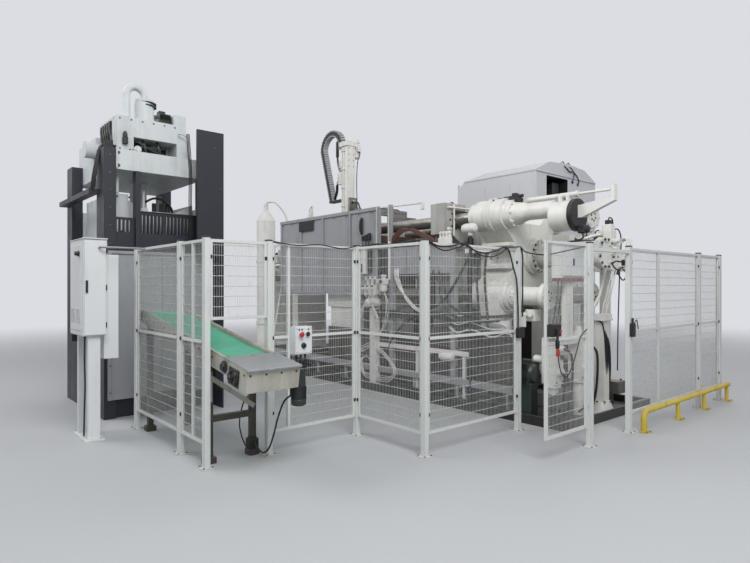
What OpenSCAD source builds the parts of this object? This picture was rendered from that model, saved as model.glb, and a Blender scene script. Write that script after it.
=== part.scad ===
// Cold chamber die casting cell: horizontal machine, trim press, sloping outfeed
// conveyor and the mesh guard fence that stands round them.
// X runs along the machine to its closing end, Y across it away from the operator, Z up.
// The origin is on the floor, under the front face of the fixed platen.

/* [Tie bars] */
// Diameter of a tie bar
tie_d = 180; // [160:5:200]
// Distance between tie bar centres, across and up
tie_gap = 1150; // [1120:5:1180]
// Height of the machine's centreline
mid_z = 2175; // [2150:5:2220]

/* [Platens] */
// Thickness of the fixed platen
fixed_platen_t = 750; // [700:10:800]
// Half the width and half the height of both die platens
platen_half = 825; // [820:5:850]
// Thickness of the moving platen
moving_platen_t = 300; // [260:10:340]
// Thickness of the rear platen
rear_platen_t = 750; // [700:10:800]
// Clear length between the fixed and the moving platen when open
opening_x = 1950; // [1900:10:2000]
// Clear length between the moving and the rear platen when open
rear_gap_x = 300; // [260:10:340]
// Radius of a tie bar boss on the rear platen
boss_r = 230; // [210:5:240]

/* [Dies] */
// Thickness of the fixed die half
fixed_die_t = 350; // [300:10:360]
// Thickness of the moving die half
moving_die_t = 400; // [340:10:410]
// Half the width of a die half, across the machine
die_half_y = 440; // [400:10:450]
// Half the height of a die half
die_half_z = 480; // [450:10:500]

/* [Closing end] */
// Diameter of a tie bar barrel
barrel_d = 250; // [240:5:270]
// Length of a tie bar barrel
barrel_l = 500; // [450:10:520]
// Diameter of the end disc on a barrel
disc_d = 360; // [330:5:380]
// Diameter of the barrel of the tie bar that is drawn
drawn_barrel_d = 230; // [220:2:236]
// Outer diameter of the closing cylinder
closing_d = 340; // [300:5:360]
// Length of the closing cylinder behind the rear platen
closing_l = 1050; // [950:10:1100]
// Diameter of the closing rod
closing_rod_d = 200; // [160:5:220]

/* [Bed] */
// Half the width of the bed over its side beams
bed_half_y = 875; // [860:5:900]
// Width of a side beam
beam_w = 220; // [200:10:240]
// Height of the bed's pads above the tray floor
pad_h = 180; // [160:10:200]
// Height of a side beam
beam_h = 170; // [150:10:190]
// Length of the bed on the shot side of the origin
bed_back = 3900; // [3800:50:4000]
// Length of the bed on the closing side of the origin
bed_front = 4100; // [4000:50:4200]
// Thickness of the drip tray's floor
tray_t = 20; // [10:2:24]
// Height of the drip tray's rim
tray_h = 120; // [100:10:140]

/* [Shot end] */
// Diameter of the shot sleeve
sleeve_d = 240; // [200:10:260]
// Diameter of the shot cylinder
shot_d = 460; // [420:10:500]
// Length of the shot cylinder
shot_l = 1700; // [1600:50:1750]
// Drop of the shot axis below the machine's centreline
shot_drop = 160; // [140:10:180]
// Diameter of a gas bottle
bottle_d = 420; // [380:10:440]
// Height of a gas bottle's straight wall above the bed
bottle_h = 2860; // [2700:20:2900]

/* [Guards] */
// Distance of the side guards from the centreline
guard_y = 900; // [895:5:930]
// Thickness of a side guard
guard_t = 30; // [20:5:40]
// Height of the top edge of the side guards
guard_top = 3080; // [3040:10:3120]
// Height of the bottom edge of the side guards
guard_low = 1600; // [1560:10:1640]

/* [Spray unit] */
// Height of the spray mast
mast_h = 1320; // [1200:20:1400]
// Width of the spray mast's square tube
mast_w = 180; // [160:5:200]
// Stroke of the spray carriage
spray_stroke = 450; // [400:10:500]

/* [Hydraulic housing] */
// Length of the housing, along the machine
house_l = 1760; // [1700:20:2000]
// Width of the housing, across the machine
house_w = 2000; // [1900:20:2200]
// Height of the housing's walls
house_h = 3730; // [3600:10:3800]
// Rise of the roof above the walls
roof_rise = 240; // [200:10:280]
// Depth of the opening in the housing's end wall
house_recess = 400; // [300:20:500]

/* [Fence] */
// Height of a fence post
post_h = 2200; // [2150:10:2250]
// Width of a square fence post
post_w = 60; // [50:2:70]
// Height of the bottom edge of a fence panel
panel_low = 220; // [180:10:260]
// Height of the middle rail of a fence panel
panel_mid = 1200; // [1150:10:1250]
// Width of a panel frame's square tube
panel_bar = 30; // [25:1:34]
// Pitch of the horizontal rods in a panel
rod_pitch = 100; // [90:5:120]
// Diameter of a horizontal rod
rod_d = 6; // [5:0.5:8]
// Height of the gap under the short panel over the conveyor
passage_h = 1410; // [1380:10:1450]
// Width of the gate leaf
gate_w = 790; // [740:10:800]
// Length of the straight part of the guard rail
rail_l = 2780; // [2600:20:2900]

/* [Conveyor] */
// Width of the conveyor between the outer faces of its side rails
conv_w = 530; // [500:10:540]
// Horizontal length of the conveyor
conv_l = 2780; // [2600:20:2800]
// Slope of the conveyor
conv_tilt = 9.4; // [8.6:0.2:10]
// Height of the belt at the low end
conv_low_z = 975; // [950:5:1000]
// Diameter of a belt drum
drum_d = 90; // [80:5:100]
// Thickness of the belt
belt_t = 8; // [5:1:10]

/* [Trim press] */
// Height of the press columns
column_h = 3550; // [3500:10:3600]
// Width of a column, across the machine
column_w = 150; // [140:5:170]
// Outer width of the press
press_w = 1515; // [1480:5:1540]
// Depth of a front column
front_column_d = 340; // [320:10:360]
// Depth of a rear column
rear_column_d = 300; // [280:10:340]
// Height of the crown beam
crown_h = 270; // [250:10:290]
// Thickness of the press slide at its middle
slide_t = 390; // [360:10:400]
// Stroke of the press slide
slide_stroke = 600; // [550:10:620]
// Height of the bolster's top
bolster_z = 1300; // [1250:10:1350]
// Height of the lift door
door_h = 1500; // [1450:10:1550]
// Travel of the lift door
door_travel = 450; // [400:10:500]

/* [Hidden] */
$fn = 48;

// Clearance of a running fit, and of pieces that rest side by side
run_gap = 0.3;
// Clearance between pieces that pass each other
pass_gap = 5;
// Length by which a cut runs past the solid that it cuts
over = 1;

// Heights and faces that the pieces share
tie_half = tie_gap / 2;
tie_low_z = mid_z - tie_half;
tie_high_z = mid_z + tie_half;
bed_low_z = tray_t + pad_h;
bed_top_z = bed_low_z + beam_h;
fixed_front_x = -100;
fixed_back_x = fixed_front_x - fixed_platen_t;
moving_front_x = fixed_front_x + opening_x;
moving_back_x = moving_front_x + moving_platen_t;
rear_front_x = moving_back_x + rear_gap_x;
rear_back_x = rear_front_x + rear_platen_t;
barrel_end_x = rear_back_x + barrel_l;
shot_z = mid_z - shot_drop;
platen_top_z = mid_z + platen_half;

// Colours, as red, green and blue shares
ivory = [0.91, 0.9, 0.86];
sheet_grey = [0.62, 0.63, 0.65];
bare_steel = [0.6, 0.58, 0.55];
dark_steel = [0.25, 0.24, 0.24];
fence_grey = [0.85, 0.86, 0.84];
press_dark = [0.2, 0.21, 0.24];
press_light = [0.81, 0.84, 0.85];
rail_yellow = [0.84, 0.76, 0.24];

// Box between two corners
module slab(x0, x1, y0, y1, z0, z1) {
  translate([x0, y0, z0]) cube([x1 - x0, y1 - y0, z1 - z0]);
}

// Round bar along X between two stations
module bar_x(x0, x1, y, z, d) {
  translate([x0, y, z]) rotate([0, 90, 0]) cylinder(h = x1 - x0, d = d);
}

// Round bar along Y
module bar_y(x, y0, y1, z, d) {
  translate([x, y1, z]) rotate([90, 0, 0]) cylinder(h = y1 - y0, d = d);
}

// Upright round bar
module bar_z(x, y, z0, z1, d) {
  translate([x, y, z0]) cylinder(h = z1 - z0, d = d);
}

// Round cut for a tie bar through a piece between two stations
module tie_cut(x0, x1, y, z) {
  bar_x(x0 - over, x1 + over, y, z, tie_d + 2 * run_gap);
}

// Children at the four tie bar centres, as places across the machine
module at_tie_bars() {
  for (y = [-tie_half, tie_half], z = [tie_low_z, tie_high_z]) translate([0, y, z]) children();
}

// Ring of bolt heads on a disc that faces +X
module bolt_ring(x, pcd, count, head_d, head_h) {
  for (i = [0 : count - 1]) rotate([i * 360 / count, 0, 0]) translate([0, pcd / 2, 0]) bar_x(x - over, x + head_h, 0, 0, head_d);
}

/* Bed and tray */
tray_back = bed_back + 100;
tray_front = bed_front + 250;
tray_half = bed_half_y + 225;
tray_rim = 30;

module drip_tray() {
  color("dimgray") difference() {
    slab(-tray_back, tray_front, -tray_half, tray_half, 0, tray_h);
    slab(-tray_back + tray_rim, tray_front - tray_rim, -tray_half + tray_rim, tray_half - tray_rim, tray_t, tray_h + over);
  }
}

pad_w = 260;
pad_count = 9;
pad_first = -bed_back + 300;
pad_pitch = (bed_front + bed_back - 600) / (pad_count - 1);
member_w = 160;
rail_t = 15;
beam_in_y = bed_half_y - beam_w;

module machine_base() {
  color("darkgray") {
    for (side = [-1, 1]) {
      y0 = side < 0 ? -bed_half_y : beam_in_y;
      difference() {
        slab(-bed_back, bed_front, y0, y0 + beam_w, bed_low_z, bed_top_z);
        // Web pockets of the beam's outer face
        for (i = [0 : pad_count - 2]) {
          x = pad_first + i * pad_pitch + pad_w / 2;
          slab(x, x + pad_pitch - pad_w, side < 0 ? -bed_half_y - over : bed_half_y - 40,
            side < 0 ? -bed_half_y + 40 : bed_half_y + over, bed_low_z + 30, bed_top_z - 30);
        }
      }
      for (i = [0 : pad_count - 1])
        slab(pad_first + i * pad_pitch - pad_w / 2, pad_first + i * pad_pitch + pad_w / 2,
          y0 + 10, y0 + beam_w - 10, tray_t, bed_low_z);
      // Slide rail under the moving platen's shoes
      slab(fixed_front_x + fixed_die_t, rear_front_x - pass_gap, y0 + 40, y0 + beam_w - 40, bed_top_z, bed_top_z + rail_t);
    }
    for (i = [0 : pad_count - 1])
      slab(pad_first + i * pad_pitch - member_w / 2, pad_first + i * pad_pitch + member_w / 2,
        -beam_in_y, beam_in_y, bed_low_z, bed_top_z - 20);
  }
}

/* Platens and dies */
foot_w = 300;
foot_y = 500;

// Platen outline across the machine, with cut corners between the ears
module platen_outline(half, ear, waist) {
  difference() {
    square(2 * half, center = true);
    for (a = [0, 90, 180, 270]) rotate(a) translate([half - waist, -(half - ear)]) square([waist + over, 2 * (half - ear)]);
  }
}

// Turns an outline drawn as width and height into a plate along X
module plate_x(x0, x1) {
  translate([x0, 0, mid_z]) rotate([90, 0, 90]) linear_extrude(x1 - x0) children();
}

module platen_feet(x0, x1, z0, z1) {
  for (side = [-1, 1]) slab(x0, x1, side * (foot_y + foot_w / 2) - foot_w / 2, side * (foot_y + foot_w / 2) + foot_w / 2, z0, z1);
}

module fixed_platen() {
  color(ivory) difference() {
    union() {
      plate_x(fixed_back_x, fixed_front_x) platen_outline(platen_half, 520, 60);
      platen_feet(fixed_back_x + 60, fixed_front_x - 60, bed_top_z, mid_z - platen_half + over);
    }
    at_tie_bars() tie_cut(fixed_back_x, fixed_front_x, 0, 0);
    bar_x(fixed_back_x - over, fixed_front_x + over, 0, shot_z, sleeve_d + 2 * run_gap);
    // Clamping slots of the die face
    for (y = [-300, 300]) slab(fixed_front_x - 60, fixed_front_x + over, y - 18, y + 18, mid_z - 760, mid_z + 760);
    // Pockets of the outer sides
    for (side = [-1, 1]) slab(fixed_back_x + 120, fixed_front_x - 120, side * (platen_half - 40) - 80, side * (platen_half - 40) + 80, mid_z - 260, mid_z + 260);
  }
}

shoe_h = 110;

module moving_platen() {
  color("silver") difference() {
    union() {
      plate_x(moving_front_x, moving_back_x) platen_outline(platen_half, 470, 110);
      platen_feet(moving_front_x + 40, moving_back_x - 40, bed_top_z + rail_t + run_gap, mid_z - platen_half + over);
      // Long shoes that carry the platen on the slide rails
      for (side = [-1, 1]) slab(moving_front_x - 60, moving_back_x + 60, side * (bed_half_y - beam_w / 2) - 60,
        side * (bed_half_y - beam_w / 2) + 60, bed_top_z + rail_t + run_gap, bed_top_z + rail_t + shoe_h);
    }
    at_tie_bars() tie_cut(moving_front_x, moving_back_x, 0, 0);
    for (y = [-300, 300]) slab(moving_front_x - over, moving_front_x + 60, y - 18, y + 18, mid_z - 700, mid_z + 700);
  }
}

module die_half(x0, x1, face_x) {
  depth = x1 - x0;
  difference() {
    union() {
      slab(x0, x1, -die_half_y, die_half_y, mid_z - die_half_z, mid_z + die_half_z);
      // Clamping flanges beside the block
      back = face_x == x0 ? x1 - 60 : x0;
      slab(back, back + 60, -die_half_y - 35, die_half_y + 35, mid_z - die_half_z + 60, mid_z + die_half_z - 60);
    }
    // Cavity in the parting face
    slab(face_x - depth * 0.2, face_x + depth * 0.2, -die_half_y + 140, die_half_y - 140, mid_z - die_half_z + 240, mid_z + die_half_z - 160);
  }
}

module fixed_die_half() {
  color("slategray") die_half(fixed_front_x, fixed_front_x + fixed_die_t, fixed_front_x + fixed_die_t);
}

module moving_die_half() {
  color("rosybrown") die_half(moving_front_x - moving_die_t, moving_front_x, moving_front_x - moving_die_t);
}

arm_w = 400;
hub_half = 470;

// Cross shaped casting with a round boss at each tie bar
module rear_outline() {
  square(2 * hub_half, center = true);
  for (a = [45, 135]) rotate(a) square([2 * tie_half * sqrt(2), arm_w], center = true);
  for (y = [-tie_half, tie_half], z = [-tie_half, tie_half]) translate([y, z]) circle(boss_r);
}

module rear_platen() {
  color(ivory) difference() {
    union() {
      plate_x(rear_front_x + 200, rear_back_x - 60) rear_outline();
      // Front plate and bosses that stand proud of the arms
      plate_x(rear_front_x, rear_front_x + 220) square(2 * hub_half - 240, center = true);
      at_tie_bars() {
        bar_x(rear_front_x + 100, rear_back_x, 0, 0, 2 * boss_r - 60);
        bar_x(rear_front_x + 250, rear_front_x + 600, 0, 0, 2 * boss_r);
        for (x = [400, 470]) bar_x(rear_front_x + x, rear_front_x + x + 30, 0, 0, 2 * boss_r + 40);
      }
      // Feet down to the bed
      platen_feet(rear_front_x + 330, rear_back_x - 80, bed_top_z, tie_low_z);
      // Waist ribs
      for (z = [-160, 160]) slab(rear_front_x + 210, rear_back_x - 60, -hub_half - 110, hub_half + 110, mid_z + z - 25, mid_z + z + 25);
      bar_x(rear_back_x - 70, rear_back_x, 0, mid_z, closing_d + 200);
    }
    at_tie_bars() tie_cut(rear_front_x, rear_back_x, 0, 0);
    bar_x(rear_front_x - over, rear_back_x + over, 0, mid_z, closing_rod_d + 2 * run_gap);
    // Hollow between the arms at each side
    for (side = [-1, 1]) slab(rear_front_x + 280, rear_back_x - 140, side * hub_half - 150, side * hub_half + 150, mid_z - 110, mid_z + 110);
  }
}

module tie_bar(y, z, x1) {
  color(bare_steel) {
    bar_x(fixed_back_x - 160, x1, y, z, tie_d);
    bar_x(fixed_back_x - 130, fixed_back_x, y, z, tie_d + 110);
  }
}

module tie_bar_upper_near() { tie_bar(-tie_half, tie_high_z, barrel_end_x - 20); }
module tie_bar_upper_far() { tie_bar(tie_half, tie_high_z, barrel_end_x - 20); }
module tie_bar_lower_near() { tie_bar(-tie_half, tie_low_z, barrel_end_x - 20); }
module tie_bar_lower_far() { tie_bar(tie_half, tie_low_z, barrel_end_x - 20); }

disc_t = 70;

bell_l = 240;

// Cone along X that narrows from one diameter to another
module cone_x(x0, x1, d0, d1) {
  translate([x0, 0, 0]) rotate([0, 90, 0]) cylinder(h = x1 - x0, d1 = d0, d2 = d1);
}

// Cap that covers the end of one tie bar
module barrel() {
  difference() {
    union() {
      bar_x(rear_back_x, barrel_end_x, 0, 0, barrel_d);
      bar_x(rear_back_x, rear_back_x + 50, 0, 0, barrel_d + 90);
      cone_x(rear_back_x + 49, rear_back_x + bell_l, barrel_d + 50, barrel_d);
      bar_x(barrel_end_x, barrel_end_x + disc_t, 0, 0, disc_d);
      bolt_ring(rear_back_x + 50, barrel_d + 45, 8, 30, 22);
      bolt_ring(barrel_end_x + disc_t, disc_d - 60, 8, 30, 15);
    }
    bar_x(rear_back_x - over, barrel_end_x - 20 + run_gap, 0, 0, tie_d + 2 * run_gap);
  }
}

drawn_l = 160;
drawn_end_x = barrel_end_x + drawn_l;
nut_l = 270;
nut_d = 390;
nut_drop = 110;
nut_z = tie_high_z - nut_drop;

module tie_bar_barrels() {
  color(ivory) {
    for (at = [[-tie_half, tie_low_z], [tie_half, tie_low_z], [tie_half, tie_high_z]]) translate([0, at[0], at[1]]) barrel();
    // Larger barrel with a nut housing on the tie bar that is drawn
    translate([0, -tie_half, tie_high_z]) difference() {
      union() {
        bar_x(rear_back_x, barrel_end_x, 0, 0, drawn_barrel_d);
        bar_x(rear_back_x, rear_back_x + 60, 0, 0, drawn_barrel_d + 160);
        cone_x(rear_back_x + 59, rear_back_x + bell_l, drawn_barrel_d + 100, drawn_barrel_d);
        bar_x(barrel_end_x - over, drawn_end_x + over, 0, 0, drawn_barrel_d);
        bar_x(drawn_end_x, drawn_end_x + nut_l, 0, -nut_drop, nut_d);
        // Clamp ear of the split nut
        slab(drawn_end_x - 60, drawn_end_x + over, -60, 60, -nut_drop - nut_d / 2 - 20, 0);
        bolt_ring(rear_back_x + 60, drawn_barrel_d + 115, 8, 34, 24);
      }
      bar_x(rear_back_x - over, barrel_end_x - 20 + run_gap, 0, 0, tie_d + 2 * run_gap);
    }
  }
}

puller_d = 66;
puller_rod_d = 34;
puller_z = nut_z + nut_d / 2 + puller_d / 2 + 40;
puller_x0 = drawn_end_x - 390;
puller_x1 = drawn_end_x + nut_l + 20;
puller_tip_x = drawn_end_x + nut_l + 540;
ring_t = 60;
saddle_in = 60;

// Draws the upper near tie bar out of the platens to change a die
module tie_bar_puller() {
  ring_x = drawn_end_x + nut_l;
  color(ivory) {
    translate([0, -tie_half, 0]) {
      bar_x(ring_x, ring_x + ring_t, 0, nut_z, nut_d + 20);
      bar_x(puller_x0, puller_x1, 0, puller_z, puller_d);
      bar_x(puller_x0 - 30, puller_x0, 0, puller_z, puller_d + 6);
      bar_x(puller_x1, puller_x1 + 40, 0, puller_z, puller_d + 16);
      bar_x(puller_x1 + 40, puller_tip_x - 30, 0, puller_z, puller_rod_d);
      // Saddles that sit on the nut housing under the cylinder
      difference() {
        for (x = [drawn_end_x + saddle_in, drawn_end_x + nut_l - saddle_in - 40])
          slab(x, x + 40, -45, 45, nut_z + nut_d / 2 - 20, puller_z);
        bar_x(drawn_end_x, drawn_end_x + nut_l, 0, nut_z, nut_d + 2 * run_gap);
      }
      // Cranked arm from the nut ring to the rod's eye
      translate([0, 35, 0]) rotate([90, 0, 0]) linear_extrude(70) polygon([
        [ring_x + ring_t - over, nut_z - 40],
        [ring_x + ring_t + 60, nut_z - 40],
        [puller_tip_x, puller_z - 140],
        [puller_tip_x, puller_z + 60],
        [puller_tip_x - 50, puller_z + 60],
        [puller_tip_x - 50, puller_z - 90],
        [ring_x + ring_t + 40, nut_z + 120],
        [ring_x + ring_t - over, nut_z + 120]
      ]);
    }
  }
}

/* Closing end */
rod_end_x = rear_back_x + closing_l - 150;

module closing_cylinder() {
  color(ivory) difference() {
    union() {
      bar_x(rear_back_x, rear_back_x + closing_l, 0, mid_z, closing_d);
      bar_x(rear_back_x, rear_back_x + 80, 0, mid_z, closing_d + 140);
      bar_x(rear_back_x + closing_l - 90, rear_back_x + closing_l, 0, mid_z, closing_d + 70);
      translate([0, 0, mid_z]) bolt_ring(rear_back_x + 80, closing_d + 80, 12, 40, 30);
      translate([0, 0, mid_z]) bolt_ring(rear_back_x + closing_l, closing_d - 20, 8, 36, 20);
      slab(rear_back_x + 300, rear_back_x + 560, -70, 70, mid_z + closing_d / 2 - 20, mid_z + closing_d / 2 + 110);
    }
    bar_x(rear_back_x - over, rod_end_x + 20, 0, mid_z, closing_rod_d + 2 * run_gap);
  }
}

module closing_rod() {
  color("lightgray") {
    bar_x(moving_back_x, rod_end_x, 0, mid_z, closing_rod_d);
    bar_x(moving_back_x, moving_back_x + 50, 0, mid_z, closing_rod_d + 120);
  }
}

/* Shot end */
shot_plate_t = 200;
shot_run = 1950;
sleeve_run = 1100;
shot_back_x = fixed_back_x - shot_run;
sleeve_back_x = fixed_back_x - sleeve_run;

module shot_frame() {
  color(ivory) difference() {
    union() {
      for (side = [-1, 1])
        slab(shot_back_x, fixed_back_x, side * 360 - 90, side * 360 + 90, shot_z - 260, shot_z - 60);
      slab(shot_back_x, shot_back_x + shot_plate_t, -450, 450, shot_z - 420, shot_z + 420);
      slab(shot_back_x, shot_back_x + shot_plate_t, -380, 380, bed_top_z, shot_z - 400);
      slab(shot_back_x - 1000, shot_back_x - 850, -300, 300, bed_top_z, shot_z - 160);
    }
    bar_x(shot_back_x - over, shot_back_x + shot_plate_t + over, 0, shot_z, sleeve_d + 2 * run_gap);
    bar_x(shot_back_x - 1000 - over, shot_back_x - 850 + over, 0, shot_z, shot_d + 2 * run_gap);
  }
}

module shot_cylinder() {
  color("lightgray") {
    bar_x(shot_back_x - shot_l, shot_back_x, 0, shot_z, shot_d);
    bar_x(shot_back_x - 90, shot_back_x, 0, shot_z, shot_d + 120);
    bar_x(shot_back_x - shot_l - 60, shot_back_x - shot_l + 60, 0, shot_z, shot_d + 80);
    bar_x(shot_back_x - over, sleeve_back_x + 50, 0, shot_z, 130);
    difference() {
      bar_x(sleeve_back_x, fixed_front_x, 0, shot_z, sleeve_d);
      bar_x(sleeve_back_x - over, fixed_front_x + over, 0, shot_z, 130);
    }
  }
}

bottle_x = -bed_back + 340;
bottle_y = 620;

module gas_bottles() {
  color(ivory) for (side = [-1, 1]) translate([bottle_x, side * bottle_y, bed_top_z]) {
    cylinder(h = bottle_h, d = bottle_d);
    translate([0, 0, bottle_h]) cylinder(h = 220, d1 = bottle_d, d2 = 150);
    translate([0, 0, bottle_h + 220]) cylinder(h = 90, d = 110);
    for (z = [500, 1900]) translate([0, 0, z]) cylinder(h = 60, d = bottle_d + 30);
  }
}

/* Guards */
guard_back_x = fixed_back_x - 1550;
guard_front_x = fixed_front_x + 800;

// Side guard sheet with a folded top edge and stand-off brackets to the fixed platen
module side_guard(side) {
  y0 = side < 0 ? -guard_y - guard_t : guard_y;
  slab(guard_back_x, guard_front_x, y0, y0 + guard_t, guard_low, guard_top);
  for (x = [fixed_back_x + 60, fixed_front_x - 180], z = [mid_z - 420, mid_z + 540])
    slab(x, x + 120, side < 0 ? -guard_y : platen_half, side < 0 ? -platen_half : guard_y, z, z + 120);
  slab(guard_back_x, guard_front_x, side < 0 ? y0 - 20 : y0 + guard_t, side < 0 ? y0 : y0 + guard_t + 20, guard_top - 60, guard_top);
  for (x = [guard_back_x + 20, (guard_back_x + fixed_back_x) / 2 - 25, fixed_back_x - 50]) slab(x, x + 60, side < 0 ? y0 - 20 : y0 + guard_t, side < 0 ? y0 : y0 + guard_t + 20, guard_low, guard_top - 60);
}

module guard_near() { color(sheet_grey) side_guard(-1); }
module guard_far() { color(sheet_grey) side_guard(1); }

strip_x = guard_front_x + 10;
strip_gap = 300;
strip_w = 40;
low_x0 = strip_x + strip_gap - strip_w;
low_x1 = rear_front_x - 20;
low_z0 = mid_z - 245;
low_z1 = mid_z + 185;
low_leg_w = 80;

// Low guard beside the die space, with the two upright edge strips of the sliding guard
module lower_guard_panel() {
  color(sheet_grey) {
    slab(low_x0, low_x1, -guard_y - guard_t, -guard_y, low_z0 + 30, low_z1);
    slab(low_x0, low_x1, -guard_y - guard_t, -guard_y + 40, low_z0, low_z0 + 30);
  }
  color(ivory) {
    for (x = [strip_x, strip_x + strip_gap]) slab(x, x + strip_w, -guard_y - guard_t - 20, -guard_y + 20, low_z1, guard_top);
    slab(strip_x, strip_x + strip_gap + strip_w, -guard_y - guard_t, -guard_y, low_z1, low_z1 + 60);
    // Legs down to the bed
    for (x = [low_x0 + 30, low_x1 - low_leg_w - 10])
      slab(x, x + low_leg_w, -guard_y - guard_t + 5, -platen_half - 3 * pass_gap, bed_top_z, low_z0);
  }
}

post_x = 700;
valve_y = -guard_y - guard_t - 50;

// Upright post with the guard's pneumatic valves and a worn lever
module valve_post() {
  color(ivory) {
    slab(post_x - 60, post_x + 60, valve_y - 60, valve_y + 60, tray_t, 1370);
    bar_y(post_x, valve_y - 110, valve_y + 60, 1450, 170);
    slab(post_x - 45, post_x + 45, valve_y - 40, valve_y + 40, 1500, 1640);
    for (x = [-170, -60, 60]) {
      slab(post_x + x - 35, post_x + x + 35, valve_y - 60, valve_y + 40, 1640, 1760);
      bar_z(post_x + x, valve_y, 1760, 1860, 50);
    }
    slab(post_x - 240, post_x + 130, valve_y - 30, valve_y + 30, 1610, 1650);
    // Diagonal lever
    translate([post_x + 40, valve_y - 130, 1470]) rotate([0, 55, 0]) translate([0, -12, -20]) cube([330, 24, 40]);
    bar_y(post_x + 60, valve_y - 145, valve_y - 60, 1450, 60);
  }
}

/* Spray unit */
mast_x = -540;
mast_y = -575;
mast_z = platen_top_z + 65;
arm_half = 55;
arm_z = platen_top_z + pass_gap + arm_half;
head_x = 330;
mast_head_back = 150;
carriage_h = 340;

module spray_mast() {
  color(ivory) {
    slab(mast_x - 200, mast_x + mast_w / 2, mast_y - 200, mast_y + 200, platen_top_z, mast_z);
    slab(mast_x - mast_w / 2, mast_x + mast_w / 2, mast_y - mast_w / 2, mast_y + mast_w / 2, mast_z, mast_z + mast_h);
    // Gussets at the foot
    for (side = [-1, 1]) translate([mast_x + side * 70 - 8, mast_y + mast_w / 2, mast_z]) rotate([90, 0, 90]) linear_extrude(16) polygon([
      [-over, -over], [100, -over], [60, 210], [-over, 330]
    ]);
    // Head with the drive beside it
    slab(mast_x - mast_head_back, mast_x + 100, mast_y - 110, mast_y + 110, mast_z + mast_h, mast_z + mast_h + 90);
    slab(mast_x - 60, mast_x + 60, mast_y, mast_y + 260, mast_z + mast_h, mast_z + mast_h + 40);
    bar_z(mast_x, mast_y + 195, mast_z + mast_h - 200, mast_z + mast_h + 90, 110);
    // Valve blocks on the back
    slab(mast_x - mast_w / 2 - 110, mast_x - mast_w / 2, mast_y - 80, mast_y + 80, mast_z + 620, mast_z + 860);
    slab(mast_x - mast_w / 2 - 90, mast_x - mast_w / 2, mast_y - 70, mast_y + 70, mast_z + 940, mast_z + 1080);
    // Guide rails of the carriage
    for (side = [-1, 1]) slab(mast_x + mast_w / 2, mast_x + mast_w / 2 + 20, mast_y + side * 50 - 12, mast_y + side * 50 + 12,
      mast_z + 10, mast_z + carriage_h + spray_stroke);
  }
}

module spray_carriage() {
  rail_x = mast_x + mast_w / 2 + 20 + run_gap;
  color("gainsboro") {
    slab(rail_x, rail_x + 40, mast_y - 85, mast_y + 85, arm_z - arm_half, arm_z + carriage_h);
    translate([0, mast_y + 12, arm_z + arm_half]) rotate([90, 0, 0]) linear_extrude(24) polygon([
      [rail_x + 40 - over, -over], [rail_x + 260, -over], [rail_x + 40 - over, carriage_h - 100]
    ]);
    // Arm out over the die space
    slab(rail_x + 40, head_x + arm_half, mast_y - arm_half, mast_y + arm_half, arm_z - arm_half, arm_z + arm_half);
  }
}

head_half = 300;
nozzle_pitch = 75;

// Cross arm with the nozzle block that hangs over the middle of the die space
module spray_head() {
  color("gainsboro") {
    slab(head_x - arm_half, head_x + arm_half, mast_y + arm_half, 80, arm_z - arm_half, arm_z + arm_half);
    slab(head_x - 70, head_x + 70, -head_half, head_half, arm_z - arm_half - 125, arm_z - arm_half);
    for (i = [0 : 7]) bar_z(head_x + (i % 2 == 0 ? -35 : 35), -head_half + 38 + i * nozzle_pitch,
      arm_z - arm_half - 195, arm_z - arm_half - 125, 26);
  }
}

chain_w = 110;
chain_t = 70;
chain_r = 300;

// Loop of the energy chain, from the mast's head over and down to a bracket on its back
module energy_chain() {
  top = mast_z + mast_h + 40;
  low = mast_z + 340;
  cx = mast_x - mast_head_back - chain_r - chain_t / 2;
  color("gray") {
    translate([cx, mast_y + chain_w / 2, top]) rotate([90, 0, 0]) linear_extrude(chain_w) {
      intersection() {
        difference() {
          circle(chain_r + chain_t / 2);
          circle(chain_r - chain_t / 2);
        }
        translate([-chain_r - chain_t, 0]) square([2 * (chain_r + chain_t), chain_r + chain_t]);
      }
      // Leg that slants back to the mast
      polygon([
        [-chain_r - chain_t / 2, over], [-chain_r + chain_t / 2, over], [chain_t / 2, low - top], [-chain_t / 2, low - top]
      ]);
      translate([chain_r - chain_t / 2, -30]) square([chain_t, 31]);
    }
    slab(cx - 60, mast_x - mast_w / 2, mast_y - chain_w / 2, mast_y + chain_w / 2, low - 40, low + over);
  }
}

/* Hydraulic housing */
house_x = 640;
house_chamfer = 150;
house_y = 1210;
roof_side = 410;
roof_side_rise = 200;
window_y = 1480;
window_w = 740;
window_z = 3300;
window_h = 380;

module hydraulic_housing() {
  color("lightsteelblue") difference() {
    slab(house_x, house_x + house_l, house_y, house_y + house_w, 0, house_h);
    slab(house_x + house_l - house_recess, house_x + house_l + over, window_y, window_y + window_w, window_z, window_z + window_h);
    // Sloping top of the closed end
    translate([house_x, house_y + house_w + over, 0]) rotate([90, 0, 0]) linear_extrude(house_w + 2 * over) polygon([
      [-over, house_h - house_chamfer - over], [house_chamfer + over, house_h + over], [-over, house_h + over]
    ]);
  }
}

// Roof with sloping shoulders over the long sides
module housing_roof() {
  outer = [
    [0, 0], [house_w, 0], [house_w, 20], [house_w - roof_side, roof_side_rise],
    [house_w / 2, roof_rise], [roof_side, roof_side_rise], [0, 20]
  ];
  color("lightsteelblue") translate([house_x, house_y, house_h]) intersection() {
    rotate([90, 0, 90]) linear_extrude(house_l) polygon(outer);
    translate([0, house_w + over, 0]) rotate([90, 0, 0]) linear_extrude(house_w + 2 * over) polygon([
      [house_chamfer, 0], [house_l, 0], [house_l, roof_rise], [house_chamfer + roof_rise, roof_rise]
    ]);
  }
}

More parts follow.
